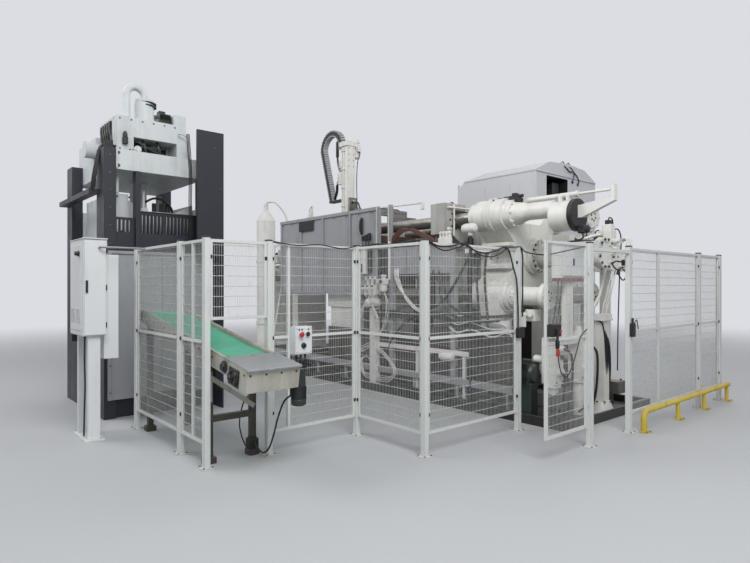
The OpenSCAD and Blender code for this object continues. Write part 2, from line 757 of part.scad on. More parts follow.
/* Cabinet, valves and pumps at the closing end */
pump_x = bed_front - 140;
pump_ys = [-bed_half_y + 65, -185];
pump_z0 = 500;
pump_z1 = 1080;
term_t = 150;
term_w = 500;
term_y = -tie_half + 50;
term_z0 = 1840;
term_z1 = term_z0 + 450;

module terminal_cabinet() {
  color(ivory) translate([pump_x + 40, term_y, 0]) {
    slab(-term_t / 2, term_t / 2, -term_w / 2, term_w / 2, term_z0, term_z1);
    slab(term_t / 2, term_t / 2 + 12, -term_w / 2 + 10, term_w / 2 - 10, term_z0 + 20, term_z1 - 10);
    // Bracket down to the pump group
    slab(-40, 40, -75, 75, pump_z1, term_z0);
  }
}

manifold_x = rear_back_x + 250;
manifold_l = 700;
manifold_y = 640;
manifold_w = 260;
manifold_z = 1950;
manifold_h = 250;
valve_pitch = 140;

module valve_manifold() {
  color(ivory) {
    slab(manifold_x, manifold_x + manifold_l, manifold_y, manifold_y + manifold_w, manifold_z, manifold_z + manifold_h);
    for (i = [0 : 3]) translate([manifold_x + 50 + i * valve_pitch, manifold_y, manifold_z + manifold_h]) {
      slab(0, 100, 20, manifold_w - 20, 0, 130);
      bar_y(50, -80, 20, 70, 60);
    }
    for (x = [manifold_x + 50, manifold_x + manifold_l / 2])
      slab(x, x + 100, manifold_y + 60, manifold_y + manifold_w - 60, bed_top_z, manifold_z);
  }
}

pedestal_y = 180;
pedestal_z = 1270;

module pump_group() {
  color(ivory) {
    for (i = [0, 1]) {
      y = pump_ys[i];
      slab(pump_x - 100, pump_x + 100, y - 90, y + 90, pump_z0, pump_z1);
      bar_z(pump_x, y, i == 0 ? bed_top_z : tray_t, pump_z0 + over, 150);
      bar_x(pump_x - 250, pump_x - 100 + over, y, (pump_z0 + pump_z1) / 2, 110);
    }
    slab(pump_x - 50, pump_x + 50, pump_ys[0] + 90, pump_ys[1] - 90, pump_z1 - 100, pump_z1);
    // Pedestal with a tapered foot
    translate([bed_front, pedestal_y, 0]) {
      slab(-70, 70, -70, 70, tray_t, pedestal_z);
      translate([0, 0, tray_t]) cylinder(h = 160, d1 = 360, d2 = 210);
      slab(-100, 100, -120, 120, pedestal_z, pedestal_z + 30);
    }
  }
}

/* Fence */
P = [
  [810, -4895], [2163, -4895], [2785, -4895], [2785, -4219], [2785, -3055], [3890, -3055],
  [3890, -1455], [4810, -1455], [4810, -545], [4810, 1605], [4810, 2420]
];
foot_plate = 130;
panel_top = post_h - 10;
header_z = 2120;
lock_z = 1310;
hinge_off = post_w / 2 + 25;
hinge_x = P[7][0];
hinge_y = P[7][1] - hinge_off;
hinge_pin_d = 16;
knuckle_d = 30;
knuckle_h = 60;
hinge_zs = [480, 1900];

module fence_posts() {
  color(fence_grey) {
    for (p = P) {
      translate([p[0] - post_w / 2, p[1] - post_w / 2, 0]) cube([post_w, post_w, post_h]);
      translate([p[0] - foot_plate / 2, p[1] - foot_plate / 2, 0]) cube([foot_plate, foot_plate, 12]);
    }
    // Header over the doorway
    slab(P[8][0] - 20, P[8][0] + 20, P[7][1] + post_w / 2, P[8][1] - post_w / 2, header_z, header_z + 40);
    // Hinge pins on their brackets
    for (z = hinge_zs) {
      slab(hinge_x - 12, hinge_x + 12, hinge_y, P[7][1] - post_w / 2, z - 30, z - 10);
      bar_z(hinge_x, hinge_y, z - 30, z + knuckle_h + 20, hinge_pin_d);
    }
    // Strike plate of the gate on its closing post
    slab(P[6][0] + post_w / 2, P[6][0] + post_w / 2 + 80, P[6][1] - 12, P[6][1] + 12, lock_z - 60, lock_z + 60);
  }
}

// Mesh panel along +X from its corner: frame, middle rail and horizontal rods
module mesh_panel(length, low, top, has_mid, stiles) {
  y = panel_bar / 2;
  slab(0, panel_bar, -y, y, low, top);
  slab(length - panel_bar, length, -y, y, low, top);
  slab(0, length, -y, y, low, low + panel_bar);
  slab(0, length, -y, y, top - panel_bar, top);
  if (has_mid) slab(0, length, -y, y, panel_mid - panel_bar / 2, panel_mid + panel_bar / 2);
  for (x = stiles) slab(x - panel_bar / 2, x + panel_bar / 2, -y, y, low, top);
  rows = floor((top - low - 2 * panel_bar) / rod_pitch);
  for (i = [1 : rows]) {
    z = low + panel_bar + i * rod_pitch - rod_d / 2;
    if (!has_mid || abs(z - panel_mid) > panel_bar) bar_x(panel_bar / 2, length - panel_bar / 2, 0, z, rod_d, $fn = 8);
  }
}

// Panel between two posts, set against their faces
module panel_between(a, b, low, has_mid, stile_at) {
  along_x = abs(b[0] - a[0]) > abs(b[1] - a[1]);
  run = along_x ? b[0] - a[0] : b[1] - a[1];
  length = abs(run) - post_w;
  color(fence_grey) translate([a[0], a[1], 0]) rotate(along_x ? (run > 0 ? 0 : 180) : (run > 0 ? 90 : -90))
    translate([post_w / 2, 0, 0]) mesh_panel(length, low, panel_top, has_mid, stile_at);
}

module fence_panel_1() { panel_between(P[0], P[1], panel_low, true, []); }
module fence_panel_2() { panel_between(P[1], P[2], panel_low, true, [326 - post_w / 2]); }
module fence_panel_3() { panel_between(P[2], P[3], passage_h, false, []); }
module fence_panel_4() { panel_between(P[3], P[4], panel_low, true, [237 - post_w / 2]); }
module fence_panel_5() { panel_between(P[4], P[5], panel_low, true, []); }
module fence_panel_6() { panel_between(P[5], P[6], panel_low, true, []); }
module fence_panel_7() { panel_between(P[8], P[9], panel_low, true, [800 - post_w / 2]); }
module fence_panel_8() { panel_between(P[9], P[10], panel_low, true, []); }

// Leaf of the gate, hung on two pins and standing open across the doorway's line
module gate_leaf() {
  start = hinge_y - knuckle_d / 2;
  color(fence_grey) difference() {
    union() {
      translate([hinge_x, start, 0]) rotate(-90) mesh_panel(gate_w, panel_low, panel_top, true, []);
      for (z = hinge_zs) {
        bar_z(hinge_x, hinge_y, z - 10 + run_gap, z + knuckle_h - 10, knuckle_d);
        slab(hinge_x - 8, hinge_x + 8, start - 10, start + 4, z - 10 + run_gap, z + knuckle_h - 10);
      }
    }
    for (z = hinge_zs) bar_z(hinge_x, hinge_y, z - 40, z + knuckle_h + 10, hinge_pin_d + 0.1);
  }
}

// Interlock box with its handle on the gate's free edge
module gate_lock() {
  edge = hinge_y - knuckle_d / 2 - gate_w;
  x = hinge_x + panel_bar / 2;
  color("dimgray") slab(x, x + 60, edge + 10, edge + 170, lock_z - 70, lock_z + 50);
  color("firebrick") {
    slab(x + 60, x + 90, edge + 60, edge + 90, lock_z - 40, lock_z + 10);
    bar_z(x + 75, edge + 75, lock_z - 130, lock_z - 40, 24);
  }
}

box_y = P[3][1] + 244;
box_w = 210;

module operator_box() {
  x = P[3][0] + panel_bar / 2;
  color(fence_grey) slab(x, x + 110, box_y, box_y + box_w, 1020, 1310);
  color("firebrick") bar_x(x + 110, x + 145, box_y + 60, 1230, 46);
  color("dimgray") bar_x(x + 110, x + 130, box_y + 145, 1230, 50);
  color("dimgray") bar_x(x + 110, x + 120, box_y + 100, 1110, 40);
}

rail_plate = 70;
rail_x = P[8][0] + foot_plate / 2 + 40;
rail_y = P[8][1] + 255;
rail_d = 70;
rail_z = 245;
rail_bend = 90;
rail_feet = 4;

// Tubular rail that keeps trucks off the fence, bent down at its near end
module guard_rail() {
  color(rail_yellow) {
    bar_y(rail_x, rail_y, rail_y + rail_l, rail_z, rail_d);
    translate([rail_x, rail_y, rail_z - rail_bend]) rotate([90, 0, -90]) rotate_extrude(angle = 90) translate([rail_bend, 0]) circle(d = rail_d);
    bar_z(rail_x, rail_y - rail_bend, 12, rail_z - rail_bend, rail_d);
    slab(rail_x - rail_plate / 2, rail_x + rail_plate, rail_y - rail_bend - 60, rail_y - rail_bend + 60, 0, 12);
  }
  color("saddlebrown") for (i = [1 : rail_feet - 1]) {
    y = rail_y + i * (rail_l - 60) / (rail_feet - 1);
    bar_z(rail_x, y, 12, rail_z, rail_d - 20);
    slab(rail_x - rail_plate / 2, rail_x + rail_plate, y - 60, y + 60, 0, 12);
  }
}

/* Conveyor */
conv_x = P[2][0] + 695;
conv_y = (P[2][1] + P[3][1]) / 2 - 13;
conv_run = conv_l / cos(conv_tilt);
side_t = 30;
side_h = 150;
lip_h = 30;
end_h = 210;
drum_gap = 40;
cover_l = 330;

// Children in the conveyor's own frame: x up the slope is negative, z square to the belt
module on_conveyor() {
  translate([conv_x, conv_y, conv_low_z]) rotate([0, conv_tilt, 0]) children();
}

module conveyor_frame() {
  half = conv_w / 2;
  color("cornsilk") on_conveyor() {
    for (side = [-1, 1]) slab(-conv_run, 0, side * (half - side_t / 2) - side_t / 2, side * (half - side_t / 2) + side_t / 2, lip_h - side_h, lip_h);
    // Slider bed between the two runs of the belt
    slab(-conv_run + drum_gap + 1.5 * drum_d, -drum_gap - 1.5 * drum_d, -half + side_t, half - side_t,
      -belt_t - drum_d + run_gap, -belt_t - run_gap);
    // Drum at each end
    for (x = [-conv_run + drum_gap + drum_d / 2, -drum_gap - drum_d / 2])
      bar_y(x, -half + side_t, half - side_t, -drum_d / 2 - belt_t, drum_d);
    // Box over the low end and its chute plate
    slab(0, 12, -half, half, lip_h - end_h, lip_h);
    for (side = [-1, 1]) slab(-cover_l, 12, side * (half + 3) - 5, side * (half + 3) + 5, lip_h - end_h, lip_h);
    slab(-cover_l, 12, -half - 8, half + 8, lip_h, lip_h + 8);
  }
}

module conveyor_belt() {
  half = conv_w / 2 - side_t - pass_gap;
  r_in = drum_d / 2 + run_gap;
  r_out = drum_d / 2 + belt_t;
  x0 = -conv_run + drum_gap + drum_d / 2;
  x1 = -drum_gap - drum_d / 2;
  color("mediumseagreen") on_conveyor() translate([0, half, -drum_d / 2 - belt_t]) rotate([90, 0, 0]) linear_extrude(2 * half) difference() {
    union() {
      translate([x0, -r_out]) square([x1 - x0, 2 * r_out]);
      for (x = [x0, x1]) translate([x, 0]) circle(r_out);
    }
    translate([x0, -r_in]) square([x1 - x0, 2 * r_in]);
    for (x = [x0, x1]) translate([x, 0]) circle(r_in);
  }
}

leg_w = 60;

module conveyor_legs() {
  half = conv_w / 2;
  color("saddlebrown") difference() {
    union() for (x = [conv_x - conv_l + 300, P[2][0] - 135]) {
      for (side = [-1, 1]) {
        slab(x - leg_w / 2, x + leg_w / 2, conv_y + side * (half - leg_w / 2) - leg_w / 2, conv_y + side * (half - leg_w / 2) + leg_w / 2, 60, conv_low_z + 600);
        slab(x - 55, x + 55, conv_y + side * (half - leg_w / 2) - 55, conv_y + side * (half - leg_w / 2) + 55, 0, 60);
      }
      slab(x - leg_w / 2, x + leg_w / 2, conv_y - half, conv_y + half, 400, 460);
    }
    on_conveyor() slab(-conv_run - 500, 500, -half - 200, half + 200, lip_h - side_h, 1200);
  }
}

module conveyor_motor() {
  y = conv_y + conv_w / 2 + 8;
  color("darkslategray") {
    z = conv_low_z - 175;
    slab(conv_x - 190, conv_x - 60, y, y + 110, z, z + 150);
    bar_z(conv_x - 125, y + 75, z - 160, z, 130);
    bar_z(conv_x - 125, y + 75, z - 200, z - 160, 110);
    slab(conv_x - 200, conv_x - 165, y + 20, y + 100, z - 110, z - 30);
  }
}

/* Trim press */
press_front_x = 100;
press_back_x = -1890;
press_y = -5085;
press_in_y0 = press_y + column_w;
press_in_y1 = press_y + press_w - column_w;
crown_x0 = press_front_x - front_column_d;
crown_z = column_h - crown_h;
bed_t = 380;
door_top = column_h - 800;
split_y = press_y + 430;

bar_pitch = 50;
bar_gap = 30;

module press_frame() {
  color(press_dark) {
    for (y = [press_y, press_in_y1]) {
      slab(crown_x0, press_front_x, y, y + column_w, 0, column_h);
      slab(press_back_x, press_back_x + rear_column_d, y, y + column_w, 0, column_h);
      slab(press_back_x + rear_column_d, crown_x0, y, y + column_w, 0, 900);
    }
    slab(press_back_x, press_front_x - 60, press_in_y0, press_in_y1, 0, bed_t);
    // Guide channels of the lift door
    for (y = [split_y - 10, press_in_y1 - 40], x = [press_front_x - 130, press_front_x - 30]) slab(x, x + 30, y, y + 40, bed_t, crown_z);
    slab(press_front_x - 130, press_front_x, split_y - 30, split_y - pass_gap, bed_t, crown_z);
    // Fixed screen beside the door, with its barred window
    difference() {
      slab(press_front_x - 100, press_front_x - 60, press_in_y0, split_y - 15, bed_t, door_top - 95);
      for (i = [0 : 3]) slab(press_front_x - 100 - over, press_front_x - 60 + over,
        press_in_y0 + 25 + i * bar_pitch, press_in_y0 + 25 + i * bar_pitch + bar_gap, door_top - 290, door_top - 125);
    }
    // Cable duct along the near side
    slab(press_back_x, crown_x0 + 60, press_y - 110, press_y, column_h - 590, column_h - 520);
  }
}

ram_d = 240;
ram_x = (press_back_x + rear_column_d + crown_x0) / 2;
ram_y = press_y + press_w / 2;

module press_crown() {
  color(press_light) difference() {
    slab(press_back_x + 40, press_front_x - 20, press_in_y0, press_in_y1, crown_z, column_h);
    bar_z(ram_x, ram_y, crown_z - over, column_h + over, ram_d + 2 * run_gap);
  }
}

module press_bolster() {
  color("gray") {
    slab(press_back_x + rear_column_d + 40, crown_x0 - 40, press_in_y0 + 60, press_in_y1 - 60, bed_t, bolster_z - 140);
    difference() {
      slab(press_back_x + rear_column_d + 10, crown_x0 - 10, press_in_y0 + 20, press_in_y1 - 20, bolster_z - 140, bolster_z);
      for (i = [1 : 4]) slab(press_back_x + rear_column_d, crown_x0, press_in_y0 + i * 220 - 14, press_in_y0 + i * 220 + 14, bolster_z - 40, bolster_z + over);
    }
  }
}

slide_drop = 870;
slide_low_z = crown_z - slide_drop;
ear_w = 264;

module press_slide() {
  x0 = press_back_x + rear_column_d + 20;
  x1 = crown_x0 - 20;
  color(press_light) {
    // Body, with its top dished between an ear at each side
    translate([x0, 0, slide_low_z]) rotate([90, 0, 90]) linear_extrude(x1 - x0) polygon([
      [press_in_y0 + 50, 0], [press_in_y1 - 50, 0], [press_in_y1 - 50, slide_t + 140],
      [press_in_y1 - 30 - ear_w, slide_t], [press_in_y0 + 2 * ear_w - 50, slide_t],
      [press_in_y0 + ear_w, slide_t + 130], [press_in_y0 + ear_w, slide_t + 210], [press_in_y0 + 50, slide_t + 210]
    ]);
    // Guide shoes beside the front and rear columns
    for (y = [press_in_y0 + run_gap, press_in_y1 - 50 - over]) {
      slab(crown_x0 - 20 - over, crown_x0 + 120, y, y + 50 + over - run_gap, slide_low_z - 60, slide_low_z + slide_t + 60);
      slab(press_back_x + rear_column_d - 120, press_back_x + rear_column_d + 20 + over, y, y + 50 + over - run_gap, slide_low_z - 60, slide_low_z + slide_t + 60);
    }
    bar_z(ram_x, ram_y, slide_low_z + slide_t - over, crown_z + slide_stroke + 40, ram_d);
  }
}

module press_door() {
  x0 = press_front_x - 100 + pass_gap;
  x1 = press_front_x - 30 - pass_gap;
  y0 = split_y + pass_gap;
  y1 = press_in_y1 - run_gap;
  color(press_dark) difference() {
    slab(x0, x1, y0, y1, door_top - door_h, door_top);
    // Two windows with their upright bars left standing
    for (at = [[y0 + 55, 5], [y0 + 385, 7]], i = [0 : at[1]]) slab(x0 - over, x1 + over,
      at[0] + i * bar_pitch, at[0] + i * bar_pitch + bar_gap, door_top - 300, door_top - 45);
  }
}

cover_z = 2200;
side_top_z = column_h + 360;
side_panel_w = 390;

module press_cover() {
  color(sheet_grey) {
    slab(press_front_x, press_front_x + 25, press_y + 40, press_y + press_w - 40, 250, cover_z);
    slab(press_front_x, press_front_x + 45, press_y + 40, press_y + press_w - 40, cover_z - 40, cover_z);
    for (y = [press_y + 40, ram_y - 20, press_y + press_w - 80]) slab(press_front_x + 25, press_front_x + 45, y, y + 40, 250, cover_z - 40);
  }
}

module press_side_panel() {
  y1 = press_y + press_w;
  color(press_dark) {
    slab(press_front_x, press_front_x + 300, y1 - 25, y1, 0, side_top_z);
    slab(press_front_x + 260, press_front_x + 300, y1 - side_panel_w, y1 - 25 + over, cover_z, side_top_z);
  }
}

unit_x0 = press_front_x - 980;
unit_x1 = press_front_x - 200;
unit_y0 = press_y + 215;
unit_w = 835;
unit_y1 = unit_y0 + unit_w;
unit_top = column_h + 500;

module press_hydraulic_unit() {
  color(press_light) difference() {
    union() {
      slab(unit_x0, unit_x1, unit_y0, unit_y1, column_h, unit_top);
      slab(unit_x0 + 40, unit_x1 - 60, unit_y1, unit_y1 + 185, column_h, unit_top - 80);
      slab(press_back_x + 60, unit_x0, unit_y0 - 60, unit_y0 + 420, column_h, column_h + 330);
      // Round oil tank that hangs out on the near side
      bar_y(unit_x0 - 60, press_y + 15, unit_y0, column_h + 150, 235);
      // Barrel of the press cylinder
      bar_z(ram_x, ram_y, column_h, crown_z + slide_stroke + 130, ram_d + 180);
    }
    // Wide opening low in the front, where the pipes go down to the cylinder
    slab(unit_x1 - 330, unit_x1 + over, unit_y0 + 220, unit_y1 - 20, column_h - over, column_h + 230);
    bar_z(ram_x, ram_y, column_h - over, crown_z + slide_stroke + 60, ram_d + 2 * run_gap);
  }
}

filter_d = 260;
filter_y = unit_y0 + 425;
filter_top = unit_top + 275;
pipe_d = 100;
pipe_y = unit_y0 + 185;
pipe_r = (filter_y - pipe_y) / 2;
pipe_x = unit_x1 - 200;
bend_z = unit_top + 365;

module press_filter_pipe() {
  color(press_light) {
    bar_z(pipe_x, filter_y, unit_top, filter_top, filter_d);
    bar_z(pipe_x, filter_y, unit_top, unit_top + 30, filter_d + 60);
    bar_z(pipe_x, pipe_y, unit_top, bend_z, pipe_d);
    bar_z(pipe_x, pipe_y, unit_top, unit_top + 24, pipe_d + 60);
    translate([pipe_x, (filter_y + pipe_y) / 2, bend_z]) rotate([90, 0, 90]) rotate_extrude(angle = 180) translate([pipe_r, 0]) circle(d = pipe_d);
    bar_z(pipe_x, filter_y, filter_top - over, bend_z, pipe_d);
  }
  color("dimgray") bar_z(pipe_x, filter_y, filter_top, filter_top + 40, filter_d - 20);
}

cab_x0 = press_front_x + 440;
cab_x1 = cab_x0 + 560;
cab_y1 = conv_y - conv_w / 2 - 484;
cab_y0 = cab_y1 - 248;
cab_h = 1080;
cab_z0 = 1180;
cab_z1 = cab_z0 + cab_h;

module control_cabinet() {
  color("whitesmoke") {
    slab(cab_x0, cab_x1, cab_y0, cab_y1, cab_z0, cab_z1);
    slab(cab_x0 + 8, cab_x1 - 8, cab_y0 - 6, cab_y0, cab_z0 + 10, cab_z1 - 10);
  }
  color("gray") {
    slab(cab_x0 + 30, cab_x0 + 430, cab_y1, cab_y1 + 160, cab_z0 - 280, cab_z1 - 160);
    for (x = [cab_x0 + 40, cab_x1 - 100]) slab(x, x + 60, cab_y0 + 60, cab_y1 - 60, 20, cab_z0);
    slab(cab_x0, cab_x1, cab_y0 + 20, cab_y1 - 20, 0, 20);
  }
}

drip_tray();
machine_base();
fixed_platen();
rear_platen();
tie_bar_barrels();
tie_bar_upper_near();
tie_bar_upper_far();
tie_bar_lower_near();
tie_bar_lower_far();
tie_bar_puller();
closing_cylinder();
closing_rod();
moving_platen();
moving_die_half();
fixed_die_half();
shot_frame();
shot_cylinder();
gas_bottles();
guard_near();
guard_far();
lower_guard_panel();
valve_post();
spray_mast();
spray_carriage();
spray_head();
energy_chain();
hydraulic_housing();
housing_roof();
terminal_cabinet();
valve_manifold();
pump_group();
fence_posts();
fence_panel_1();
fence_panel_2();
fence_panel_3();
fence_panel_4();
fence_panel_5();
fence_panel_6();
fence_panel_7();
fence_panel_8();
gate_leaf();
gate_lock();
operator_box();
guard_rail();
conveyor_frame();
conveyor_belt();
conveyor_legs();
conveyor_motor();
press_frame();
press_crown();
press_bolster();
press_slide();
press_door();
press_cover();
press_side_panel();
press_hydraulic_unit();
press_filter_pipe();
control_cabinet();
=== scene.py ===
"""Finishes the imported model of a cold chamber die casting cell.

The frame holds every rigid piece at its real size. This script gives each of them its
finish, adds the fine parts that the frame leaves out, such as mesh wires, bolts, hoses,
pipes and chain links, and sets the floor, the light and the camera.
"""

import logging
import math
from dataclasses import dataclass, field
from enum import Enum
from typing import Any, Callable, Iterable, Sequence

import bmesh
import bpy
from mathutils import Matrix, Vector


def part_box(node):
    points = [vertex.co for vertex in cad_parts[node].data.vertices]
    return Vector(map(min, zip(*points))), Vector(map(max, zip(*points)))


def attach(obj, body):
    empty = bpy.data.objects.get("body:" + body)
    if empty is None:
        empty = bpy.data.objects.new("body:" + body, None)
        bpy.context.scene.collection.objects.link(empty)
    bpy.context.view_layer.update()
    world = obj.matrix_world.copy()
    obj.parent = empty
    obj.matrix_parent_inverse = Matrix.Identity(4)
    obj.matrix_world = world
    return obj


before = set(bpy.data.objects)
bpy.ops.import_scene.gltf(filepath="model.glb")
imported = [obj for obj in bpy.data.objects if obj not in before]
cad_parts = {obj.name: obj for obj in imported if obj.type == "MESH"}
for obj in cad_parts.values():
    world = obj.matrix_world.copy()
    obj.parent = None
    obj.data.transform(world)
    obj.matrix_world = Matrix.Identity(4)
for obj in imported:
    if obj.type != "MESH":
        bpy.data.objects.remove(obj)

LOG = logging.getLogger("die_casting_cell")
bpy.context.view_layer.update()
ROOT = "cell"
# Edges that turn by more than this stay sharp in the shading
SHARP_FROM = math.radians(34)
Point = tuple[float, float, float]
Triple = Sequence[float]
# The cell's directions: ALONG runs from the shot end to the closing end, NEAR points to the conveyor's side
UP, DOWN = (0, 0, 1), (0, 0, -1)
ALONG, BACK = (1, 0, 0), (-1, 0, 0)
NEAR, FAR = (0, -1, 0), (0, 1, 0)


def linear(hex_colour: str) -> tuple[float, float, float, float]:
    """Turns an sRGB hex colour into linear light.

    Args:
        hex_colour: The colour as six hex digits after a hash sign.

    Returns:
        Red, green, blue and an alpha of 1.
    """
    parts = [int(hex_colour[i : i + 2], 16) / 255 for i in (1, 3, 5)]
    light = [c / 12.92 if c <= 0.04045 else ((c + 0.055) / 1.055) ** 2.4 for c in parts]
    return (light[0], light[1], light[2], 1.0)


def add(
    tree: bpy.types.NodeTree, kind: str, inputs: dict[Any, Any] | None = None, **settings: Any
) -> bpy.types.Node:
    """Adds one node with its settings, values and links.

    Args:
        tree: The tree that gets the node.
        kind: The node's type name in Blender.
        inputs: For each input, by name or number, a value, a socket, or a node that stands for its first output.
        settings: The node's own properties.

    Returns:
        The new node.
    """
    made = tree.nodes.new(kind)
    for key, value in settings.items():
        setattr(made, key, value)
    for key, value in (inputs or {}).items():
        socket = made.inputs[key]
        if isinstance(value, bpy.types.Node):
            value = value.outputs[0]
        if isinstance(value, bpy.types.NodeSocket):
            tree.links.new(value, socket)
        else:
            socket.default_value = value
    return made


def start_material(name: str) -> tuple[bpy.types.Material, bpy.types.NodeTree, bpy.types.NodeSocket]:
    """Starts an empty material.

    Args:
        name: The material's name.

    Returns:
        The material, its tree and the object's own coordinates.
    """
    mat = bpy.data.materials.new(name)
    mat.use_nodes = True
    tree = mat.node_tree
    tree.nodes.clear()
    return mat, tree, add(tree, "ShaderNodeTexCoord").outputs["Object"]


class Wear(Enum):
    """How much of a surface is soiled, as a share."""

    CLEAN = 0.12
    USED = 0.35
    HARD = 0.6


@dataclass(frozen=True)
class Enamel:
    """Sprayed enamel on steel or cast iron, dusty on top, streaked down its sides, chipped at its edges, and darkened
    by painted shade on faces that look down.
    """

    name: str
    colour: str
    roughness: float = 0.42
    soil_and_shade: str = "#5a5347"
    wear: Wear = Wear.USED
    chip: str = "#4b3a2e"
    chips: float = 0.5
    dust: str = "#8f8a80"

    def build(self) -> bpy.types.Material:
        """Builds the material."""
        mat, tree, place = start_material(self.name)
        # Soil runs down a wall, so its noise is drawn out along Z
        run = add(tree, "ShaderNodeMapping", {"Vector": place, "Scale": (9.0, 9.0, 0.9)})
        streak = add(tree, "ShaderNodeTexNoise", {"Vector": run, "Scale": 1.0, "Detail": 6.0, "Roughness": 0.62})
        blot = add(tree, "ShaderNodeTexNoise", {"Vector": place, "Scale": 1.7, "Detail": 7.0, "Roughness": 0.65})
        both = add(tree, "ShaderNodeMath", {0: streak, 1: blot}, operation="MULTIPLY")
        edge = 0.47 - 0.2 * self.wear.value
        soiled = add(tree, "ShaderNodeMapRange", {"Value": both, "From Min": edge - 0.16, "From Max": edge + 0.14,
                                                  "To Min": 0.0, "To Max": 0.25 + 0.75 * self.wear.value})
        # Faces that look up hold dust
        normal = add(tree, "ShaderNodeNewGeometry").outputs["Normal"]
        up = add(tree, "ShaderNodeSeparateXYZ", {0: normal}).outputs["Z"]
        laid = add(tree, "ShaderNodeMapRange",
                   {"Value": up, "From Min": 0.25, "From Max": 0.95, "To Max": 0.2 + 0.6 * self.wear.value})
        patchy = add(tree, "ShaderNodeMath", {0: laid, 1: blot}, operation="MULTIPLY")
        # Faces that look down take the soil colour too: painted shade on undersides
        under = add(tree, "ShaderNodeMapRange", {"Value": up, "From Min": -0.3, "From Max": -1.0, "To Max": 0.45})
        # Chips show at worn corners, a few millimetres wide
        soft = add(tree, "ShaderNodeBevel", {"Radius": 0.008}, samples=3)
        turn = add(tree, "ShaderNodeVectorMath", {0: soft, 1: normal}, operation="DOT_PRODUCT")
        rough_noise = add(tree, "ShaderNodeTexNoise",
                          {"Vector": place, "Scale": 26.0, "Detail": 5.0, "Roughness": 0.7})
        corner = add(tree, "ShaderNodeMapRange", {"Value": turn.outputs["Value"], "From Min": 0.985, "From Max": 0.9})
        nick = add(tree, "ShaderNodeMapRange",
                   {"Value": rough_noise, "From Min": 0.52, "From Max": 0.6, "To Max": self.chips})
        chipped = add(tree, "ShaderNodeMath", {0: corner, 1: nick}, operation="MULTIPLY")
        spot_noise = add(tree, "ShaderNodeTexNoise",
                         {"Vector": place, "Scale": 11.0, "Detail": 8.0, "Roughness": 0.75})
        spot = add(tree, "ShaderNodeMapRange",
                   {"Value": spot_noise, "From Min": 0.69, "From Max": 0.72, "To Max": self.chips})
        bare = add(tree, "ShaderNodeMath", {0: chipped, 1: spot}, operation="MAXIMUM")

        shade = linear(self.colour)
        for share, over in ((soiled, self.soil_and_shade), (patchy, self.dust), (under, self.soil_and_shade), (bare, self.chip)):
            mixed = add(tree, "ShaderNodeMix", {0: share, 6: shade, 7: linear(over)}, data_type="RGBA")
            shade = mixed.outputs[2]
        gloss = add(tree, "ShaderNodeMapRange", {"Value": both, "From Min": 0.1, "From Max": 0.5,
                                                 "To Min": self.roughness - 0.08, "To Max": self.roughness + 0.25})
        # Orange peel of a sprayed coat, drawn at 8 mm so that it shows
        peel = add(tree, "ShaderNodeTexNoise", {"Vector": place, "Scale": 120.0, "Detail": 2.0})
        bump = add(tree, "ShaderNodeBump", {"Strength": 0.12, "Distance": 0.002, "Height": peel, "Normal": soft})
        shader = add(tree, "ShaderNodeBsdfPrincipled", {"Base Color": shade, "Roughness": gloss, "Normal": bump})
        add(tree, "ShaderNodeOutputMaterial", {"Surface": shader})
        return mat


@dataclass(frozen=True)
class BareSteel:
    """Turned or ground steel, bright where it is wiped, with brown greasy blots, and darker below as painted shade.
    """

    name: str
    colour: str
    grease_and_shade: str = "#2b211b"
    roughness: float = 0.34
    grease_and_shade_share: float = 0.6
    grain: Point = (3.0, 260.0, 260.0)

    def build(self) -> bpy.types.Material:
        """Builds the material."""
        mat, tree, place = start_material(self.name)
        lines = add(tree, "ShaderNodeMapping", {"Vector": place, "Scale": self.grain})
        scratch = add(tree, "ShaderNodeTexNoise", {"Vector": lines, "Scale": 1.0, "Detail": 3.0})
        blot = add(tree, "ShaderNodeTexNoise", {"Vector": place, "Scale": 5.0, "Detail": 7.0, "Roughness": 0.7})
        normal = add(tree, "ShaderNodeNewGeometry").outputs["Normal"]
        up = add(tree, "ShaderNodeSeparateXYZ", {0: normal}).outputs["Z"]
        # Faces that look down turn towards the grease colour and lose their shine: painted shade on the underside, on
        # top of the greasy blots
        low = add(tree, "ShaderNodeMapRange",
                  {"Value": up, "From Min": 0.45, "From Max": -0.5, "To Min": 0.0, "To Max": 0.55})
        film = add(tree, "ShaderNodeMath", {0: low, 1: blot}, operation="ADD")
        grease_and_shade_mask = add(tree, "ShaderNodeMapRange",
                   {"Value": film, "From Min": 0.55, "From Max": 0.85, "To Max": self.grease_and_shade_share})
        shade = add(tree, "ShaderNodeMix", {0: grease_and_shade_mask, 6: linear(self.colour), 7: linear(self.grease_and_shade)},
                    data_type="RGBA")
        metal = add(tree, "ShaderNodeMapRange", {"Value": grease_and_shade_mask, "To Min": 1.0, "To Max": 0.3})
        gloss = add(tree, "ShaderNodeMapRange", {"Value": scratch, "From Min": 0.3, "From Max": 0.7,
                                                 "To Min": self.roughness - 0.08, "To Max": self.roughness + 0.18})
        soft = add(tree, "ShaderNodeBevel", {"Radius": 0.006}, samples=3)
        bump = add(tree, "ShaderNodeBump", {"Strength": 0.15, "Distance": 0.001, "Height": scratch, "Normal": soft})
        shader = add(tree, "ShaderNodeBsdfPrincipled",
                     {"Base Color": shade.outputs[2], "Metallic": metal, "Roughness": gloss, "Normal": bump})
        add(tree, "ShaderNodeOutputMaterial", {"Surface": shader})
        return mat


